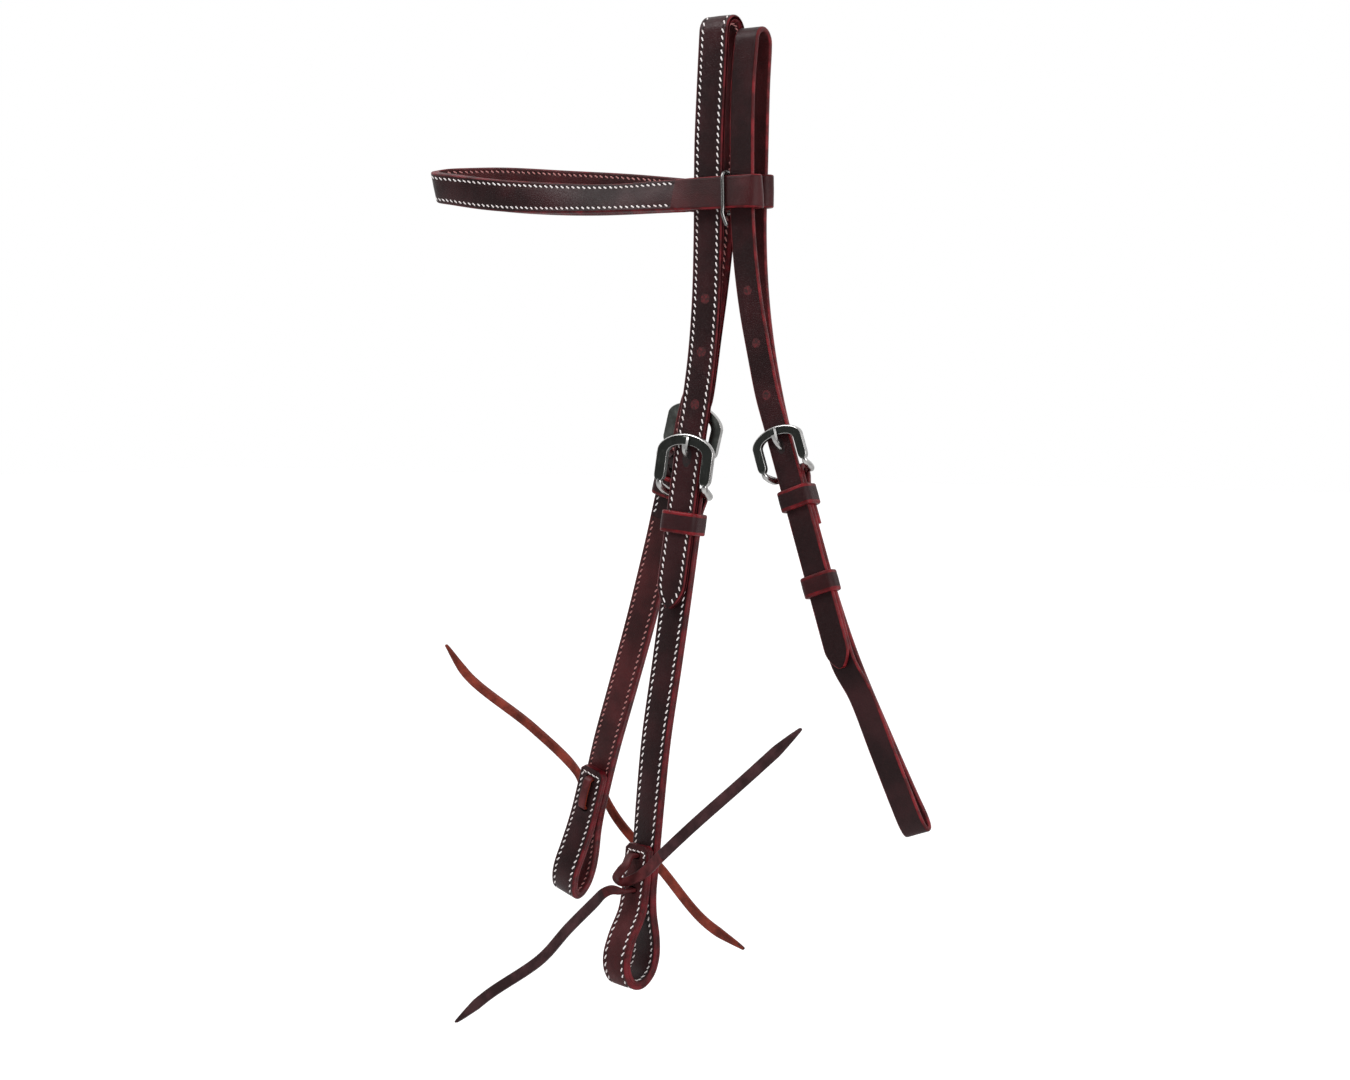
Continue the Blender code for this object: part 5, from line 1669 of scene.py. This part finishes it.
def wire_rings(points):
    """Rings along a smooth line, each turned as little as possible from the last, and their shares."""
    route = Route(points, UPRIGHT)
    marks = [route.nearest(np.array(place, float)) for place in points]
    marks[0], marks[-1] = 0.0, route.length
    stations = np.linspace(0.0, route.length, max(8, int(route.length / WIRE_STEP)))
    rings = []
    side = None
    for s in stations:
        point, along = route.frame(s)[:2]
        if side is None:
            side = unit(np.cross(along, UPRIGHT))
        side = unit(side - along * (side @ along))
        rings.append((point, side, np.cross(side, along)))
    return rings, stations, marks


def wire(points, radii):
    """A round wire with its own radius at each of its points, and rounded ends."""
    rings, stations, marks = wire_rings(points)
    sizes = np.interp(stations, marks, radii)
    length = stations[-1]
    sections = []
    for s, radius in zip(stations, sizes):
        left = min(s, length - s) / radius
        radius = radius * (math.sqrt(1 - (1 - left) ** 2) * 0.88 + 0.12 if left < 1 else 1.0)
        sections.append([
            (radius * math.cos(turn), radius * math.sin(turn), 1.0)
            for turn in [math.tau * i / WIRE_CORNERS for i in range(WIRE_CORNERS)]
        ])
    return sweep(rings, sections)


def join(bm, other):
    """Adds another body's mesh to this one as it is."""
    mesh = bpy.data.meshes.new("joined")
    other.to_mesh(mesh)
    other.free()
    bm.from_mesh(mesh)
    bpy.data.meshes.remove(mesh)


def build_frame(name, seat, throat, bar_out, front, bar_radius, body):
    """A flat arch, its face painted dark as a reflection of the dark room and its bevels bright plate, run on
    at its feet into a round heel bar.
    """
    size = frame_size(throat)
    half = RAIL_THICKNESS / 2
    mid = front + half
    right = arch_pairs(size)
    left = [((-a[0], a[1]), (-b[0], b[1])) for a, b in reversed(right[:-1])]
    rings, sections = [], []
    for i, (outer, inner) in enumerate(right + left):
        a, b = seat.at(outer[0], mid, outer[1]), seat.at(inner[0], mid, inner[1])
        rings.append(((a + b) / 2, unit(a - b), seat.out))
        from_end = min(i, len(right + left) - 1 - i)
        drop = (0.0007, 0.0004, 0.00015)[from_end] if from_end < 3 else 0.0
        high = np.clip((outer[1] - size[0] + size[4]) / (size[1] + size[4]), 0.0, 1.0)
        sections.append(plate_section(float(np.linalg.norm(a - b)), RAIL_THICKNESS, drop, high))
    bm = sweep(rings, sections)
    face_and_bevels(bm)
    frame_width, opening, foot = size[2], size[3], size[5]
    x = (frame_width + opening) / 4
    reach = opening / 2
    deep = mid - bar_out
    path = (
        (x, mid, foot + size[1] * 0.9), (x * 1.01, mid - bar_radius * 0.1, foot + size[1] * 0.40),
        (x, mid - bar_radius * 0.3, foot * 0.78), (x * 0.965, mid - deep * 0.36, foot * 0.34),
        (x * 0.90, mid - deep * 0.70, foot * 0.06), (reach * 1.03, bar_out + deep * 0.10, 0.0),
        (reach * 0.90, bar_out, 0.0), (reach * 0.40, bar_out, 0.0),
    )
    swells = (0.75, 0.88, 1.30, 1.62, 1.66, 1.40, 1.0, 1.0)
    whole = path + ((0.0, bar_out, 0.0),) + tuple((-a, b, c) for a, b, c in reversed(path))
    radii = [bar_radius * swell for swell in swells + (1.0,) + tuple(reversed(swells))]
    heel = wire([seat.at(*row) for row in whole], radii)
    for face in heel.faces:
        face.material_index = 1
    join(bm, heel)
    show(name + "_plate", bm, ["dark_reflection_plate", "bright_plate"], body, (name,))


def build_tongue(name, seat, throat, bar_out, bar_radius, front, body):
    """A flat tongue: an eye round the heel bar, a thin blade through the hole, a broad bevelled tip."""
    size = frame_size(throat)
    rail, rail_width = size[0], size[1]
    hole_up = (THROAT_BAR_TO_HOLE if throat else BAR_TO_HOLE) - TONGUE_LOW * (2 if throat else 1)
    tip_up = rail + rail_width * 0.80
    eye = bar_radius + PLY_GAP + TONGUE_THICKNESS / 2
    rest = front + RAIL_THICKNESS + TONGUE_THICKNESS / 2 + PLY_GAP
    bend = bar_out + eye
    points = [
        (0.0, bar_out + eye * math.cos(math.radians(d)), eye * math.sin(math.radians(d)))
        for d in range(-300, 1, 20)
    ]
    points += [
        (0.0, bend, hole_up * 0.30),
        (0.0, bend, hole_up * 0.58),
        (0.0, bend + PLY * 0.1, hole_up * 0.79),
        (0.0, 0.0, hole_up),
        (0.0, rest * 0.86, hole_up + (rail - hole_up) * 0.55),
        (0.0, rest, hole_up + (rail - hole_up) * 0.98),
        (0.0, rest, (rail + tip_up) / 2),
        (0.0, rest, tip_up),
    ]
    places = [seat.at(*row) for row in points]
    route = Route(places, seat.side)
    through = route.nearest(places[-5])
    landed = route.nearest(places[-3])
    stations = fine_stations(route, 0.0, route.length, step=0.0015, ends=[landed, landed + 0.0004])
    stations += [route.length - share * 0.001 for share in (0.25, 0.6, 1.0)]
    marks = (0.0, through - 0.004, through + 0.001, landed - 0.0010, landed + 0.0014, route.length)
    wide = TONGUE_TIP_WIDTH
    widths = (TONGUE_WIDTH, TONGUE_WIDTH, TONGUE_NECK_WIDTH * 0.6, TONGUE_NECK_WIDTH, wide, wide)
    thick = (1.0, 1.0, 1.0, 1.2, 1.35, 1.2)
    rings, sections = [], []
    for s in sorted(set(stations)):
        w = np.interp(s, marks, widths) / 2
        t = np.interp(s, marks, thick) * TONGUE_THICKNESS / 2
        left = (route.length - s) / 0.001
        if left < 1:
            w *= 0.72 + 0.28 * math.sqrt(1 - (1 - left) ** 2)
            t *= 0.60 + 0.40 * math.sqrt(1 - (1 - left) ** 2)
        point, _, side, out = route.frame(s)
        rings.append((point + out * (t - TONGUE_THICKNESS / 2), side, out))
        # The tongue's flat top along the rail gets the painted dark reflection; the rest is bright plate.
        top = 0.5 if landed < s < route.length - 0.0002 else 1.0
        flat = w * TONGUE_TOP_SHARE
        sections.append([
            (w * 0.9, -t, 1.0), (w, -t * 0.6, 1.0), (flat, t, top), (-flat, t, top),
            (-w, -t * 0.6, 1.0), (-w * 0.9, -t, 1.0),
        ])
    bm = sweep(rings, sections)
    face_and_bevels(bm)
    show(name + "_blade", bm, ["dark_reflection_plate", "bright_plate"], body, (name,))


def build_divider(name, sign, x, front, z, lean, turn):
    """A wire bent round both layers of a browband loop, with one end left hanging below."""
    r = DIVIDER_WIRE_RADIUS
    reach = STRAP_WIDTH / 2 + PLY_GAP + r
    tilt = reach * math.sin(math.radians(lean))
    face = front + PLY / 2 + PLY_GAP + r
    rear = LOOP_BACK - PLY / 2 - PLY_GAP - r
    corner = r * 1.2
    rows = (
        (x + DIVIDER_LEG * 0.36, face + tilt - r, -z - reach - DIVIDER_LEG),
        (x + r * 0.5, face + tilt, -z - reach - r),
        (x + tilt * 0.3, face + tilt * 0.9, -z - reach + corner),
        (x, face, -z),
        (x - tilt * 0.3, face - tilt + r * 0.1, -z + reach - corner),
        (x, face - tilt - corner, -z + reach),
        (x, rear + corner, -z + reach),
        (x, rear, -z + reach - corner),
        (x, rear, -z - reach + corner),
        (x, rear + corner, -z - reach),
        (x, rear + corner * 3, -z - reach),
    )
    middle = (front + LOOP_BACK) / 2
    places = [(a + (b - middle) * turn, sign * b, c) for a, b, c in rows]
    bm = wire(places, [r] * len(places))
    show(name + "_wire", bm, ["divider_plate"], "browband", (name,))


class HEADSTALL_OT_steel(Operator):
    """Builds the buckles, their tongues and the browband's divider wires"""

    bl_idname = "headstall.steel"
    bl_label = "Buckles and wires"

    def execute(self, context):
        for side in ("near", "far"):
            cheek = Cheek(side)
            front = cheek.layers + LAYER_GAP
            node = f"{side}_cheek_buckle"
            build_frame(
                node + "_frame", cheek.seat, False, cheek.bar_out, front, BAR_RADIUS, f"{side}_buckle"
            )
            build_tongue(
                node + "_tongue", cheek.seat, False, cheek.bar_out, BAR_RADIUS, front, f"{side}_tongue"
            )
        throat = Throat()
        front = THROAT_THICKNESS / 2 + LAYER_GAP
        build_frame(
            "throat_buckle_frame", throat.seat, True, throat.bar_out, front, THROAT_BAR_RADIUS,
            "throat_buckle",
        )
        build_tongue(
            "throat_buckle_tongue", throat.seat, True, throat.bar_out, THROAT_BAR_RADIUS, front,
            "throat_tongue",
        )
        build_divider(
            "near_browband_divider", -1, DIVIDER_X, NEAR_LOOP_FRONT, NEAR_LOOP_Z, NEAR_LOOP_LEAN_DEG,
            DIVIDER_TURN_SHARE,
        )
        build_divider("far_browband_divider", 1, DIVIDER_FAR_X, FAR_LOOP_FRONT, FAR_LOOP_Z, 0, 0)
        return {"FINISHED"}


class HEADSTALL_OT_studio(Operator):
    """Sets up the pale floor, the soft lamps, the room light and the camera"""

    bl_idname = "headstall.studio"
    bl_label = "Studio"

    def execute(self, context):
        scene = context.scene
        studio = scene.headstall_studio
        scene.view_settings.view_transform = "Standard"
        lay_floor(studio)
        world = bpy.data.worlds.new("pale_room")
        scene.world = world
        world.use_nodes = True
        tree = world.node_tree
        tree.nodes.clear()
        path = tree.nodes.new("ShaderNodeLightPath")
        seen = tree.nodes.new("ShaderNodeBackground")
        seen.inputs["Strength"].default_value = 1.0
        seen.inputs["Color"].default_value = (1.0, 1.0, 1.0, 1.0)
        where = tree.nodes.new("ShaderNodeTexCoord")
        toward = tree.nodes.new("ShaderNodeVectorMath")
        toward.operation = "DOT_PRODUCT"
        toward.inputs[1].default_value = Vector(DARK_SIDE).normalized()
        shaded = tree.nodes.new("ShaderNodeMapRange")
        shaded.interpolation_type = "SMOOTHSTEP"
        for key, value in (
            ("From Min", DARK_FROM), ("From Max", DARK_TO),
            ("To Min", studio.sky), ("To Max", studio.sky * studio.shade),
        ):
            shaded.inputs[key].default_value = value
        room = tree.nodes.new("ShaderNodeBackground")
        mix = tree.nodes.new("ShaderNodeMixShader")
        output = tree.nodes.new("ShaderNodeOutputWorld")
        tree.links.new(where.outputs["Generated"], toward.inputs[0])
        tree.links.new(toward.outputs["Value"], shaded.inputs["Value"])
        tree.links.new(shaded.outputs[0], room.inputs["Strength"])
        tree.links.new(path.outputs["Is Camera Ray"], mix.inputs[0])
        tree.links.new(room.outputs[0], mix.inputs[1])
        tree.links.new(seen.outputs[0], mix.inputs[2])
        tree.links.new(mix.outputs[0], output.inputs[0])
        lamp("key_softbox", KEY_PLACE, studio.key)
        lamp("fill_softbox", FILL_PLACE, studio.fill)
        camera = bpy.data.cameras.new("photo_camera")
        camera.sensor_width = CAMERA_SENSOR_MM
        camera.lens = CAMERA_LENS_MM
        camera.clip_start = CAMERA_CLIP
        holder = bpy.data.objects.new("photo_camera", camera)
        scene.collection.objects.link(holder)
        turn, rise = math.radians(CAMERA_AZIMUTH_DEG), math.radians(CAMERA_RISE_DEG)
        right = Vector((math.cos(turn), math.sin(turn), 0.0))
        back = Vector((math.sin(turn) * math.cos(rise), -math.cos(turn) * math.cos(rise), math.sin(rise)))
        pose = Matrix((right, back.cross(right), back)).transposed().to_4x4()
        pose.translation = Vector(CAMERA_PLACE)
        holder.matrix_world = pose
        scene.camera = holder
        return {"FINISHED"}


def lamp(name, place, power):
    light = bpy.data.lights.new(name, "AREA")
    light.shape = "SQUARE"
    light.size = LAMP_SIZE
    light.energy = power
    holder = bpy.data.objects.new(name, light)
    holder.location = place
    aim = Vector(LAMP_AIM) - Vector(place)
    holder.rotation_euler = aim.to_track_quat("-Z", "Y").to_euler()
    bpy.context.scene.collection.objects.link(holder)


def lay_floor(studio):
    """A wide pale floor far below, which still takes the object's shadow."""
    bm = bmesh.new()
    bmesh.ops.create_grid(bm, x_segments=4, y_segments=4, size=FLOOR_HALF)
    bmesh.ops.translate(bm, verts=bm.verts, vec=(0.0, 0.0, -studio.floor_drop))
    mesh = bpy.data.meshes.new("pale_floor")
    bm.to_mesh(mesh)
    bm.free()
    floor = bpy.data.objects.new("pale_floor", mesh)
    bpy.context.scene.collection.objects.link(floor)
    finish = Finish("pale_floor")
    tree = finish.tree
    path = tree.nodes.new("ShaderNodeLightPath")
    finish.shader.inputs["Base Color"].default_value = (0.82, 0.82, 0.82, 1.0)
    finish.shader.inputs["Roughness"].default_value = 0.9
    glow = tree.nodes.new("ShaderNodeEmission")
    share = Wire(finish, path.outputs["Is Camera Ray"]) * FLOOR_LIFT
    finish.join(glow.inputs["Strength"], share)
    both = tree.nodes.new("ShaderNodeAddShader")
    tree.links.new(finish.shader.outputs[0], both.inputs[0])
    tree.links.new(glow.outputs[0], both.inputs[1])
    tree.links.new(both.outputs[0], tree.nodes["Material Output"].inputs["Surface"])
    mesh.materials.append(finish.made)


class HEADSTALL_PT_parts(Panel):
    """Lists the headstall's settings and the buttons that build its pieces"""

    bl_idname = "HEADSTALL_PT_parts"
    bl_label = "Western Headstall"
    bl_space_type = "VIEW_3D"
    bl_region_type = "UI"
    bl_category = "Headstall"

    def draw(self, context):
        layout = self.layout
        scene = context.scene
        for title, group in (
            ("Leather", scene.headstall_leather),
            ("Sewing", scene.headstall_sewing),
            ("Steel", scene.headstall_steel),
            ("Studio", scene.headstall_studio),
        ):
            box = layout.box()
            box.label(text=title)
            for key in group.bl_rna.properties.keys():
                if key not in ("rna_type", "name"):
                    box.prop(group, key)
        for operator in BUILDERS:
            layout.operator(operator.bl_idname)


GROUPS = (
    ("headstall_leather", HeadstallLeather),
    ("headstall_sewing", HeadstallSewing),
    ("headstall_steel", HeadstallSteel),
    ("headstall_studio", HeadstallStudio),
)
BUILDERS = (
    HEADSTALL_OT_studio,
    HEADSTALL_OT_crown,
    HEADSTALL_OT_near_cheek,
    HEADSTALL_OT_far_cheek,
    HEADSTALL_OT_browband,
    HEADSTALL_OT_throatlatch,
    HEADSTALL_OT_keepers,
    HEADSTALL_OT_laces,
    HEADSTALL_OT_steel,
)


def register():
    for name, group in GROUPS:
        bpy.utils.register_class(group)
        setattr(bpy.types.Scene, name, PointerProperty(type=group))
    for made in (*BUILDERS, HEADSTALL_PT_parts):
        bpy.utils.register_class(made)


def unregister():
    for made in (HEADSTALL_PT_parts, *reversed(BUILDERS)):
        bpy.utils.unregister_class(made)
    for name, group in reversed(GROUPS):
        delattr(bpy.types.Scene, name)
        bpy.utils.unregister_class(group)


def main():
    register()
    for operator in BUILDERS:
        group, name = operator.bl_idname.split(".")
        getattr(getattr(bpy.ops, group), name)()


if __name__ == "__main__":
    main()
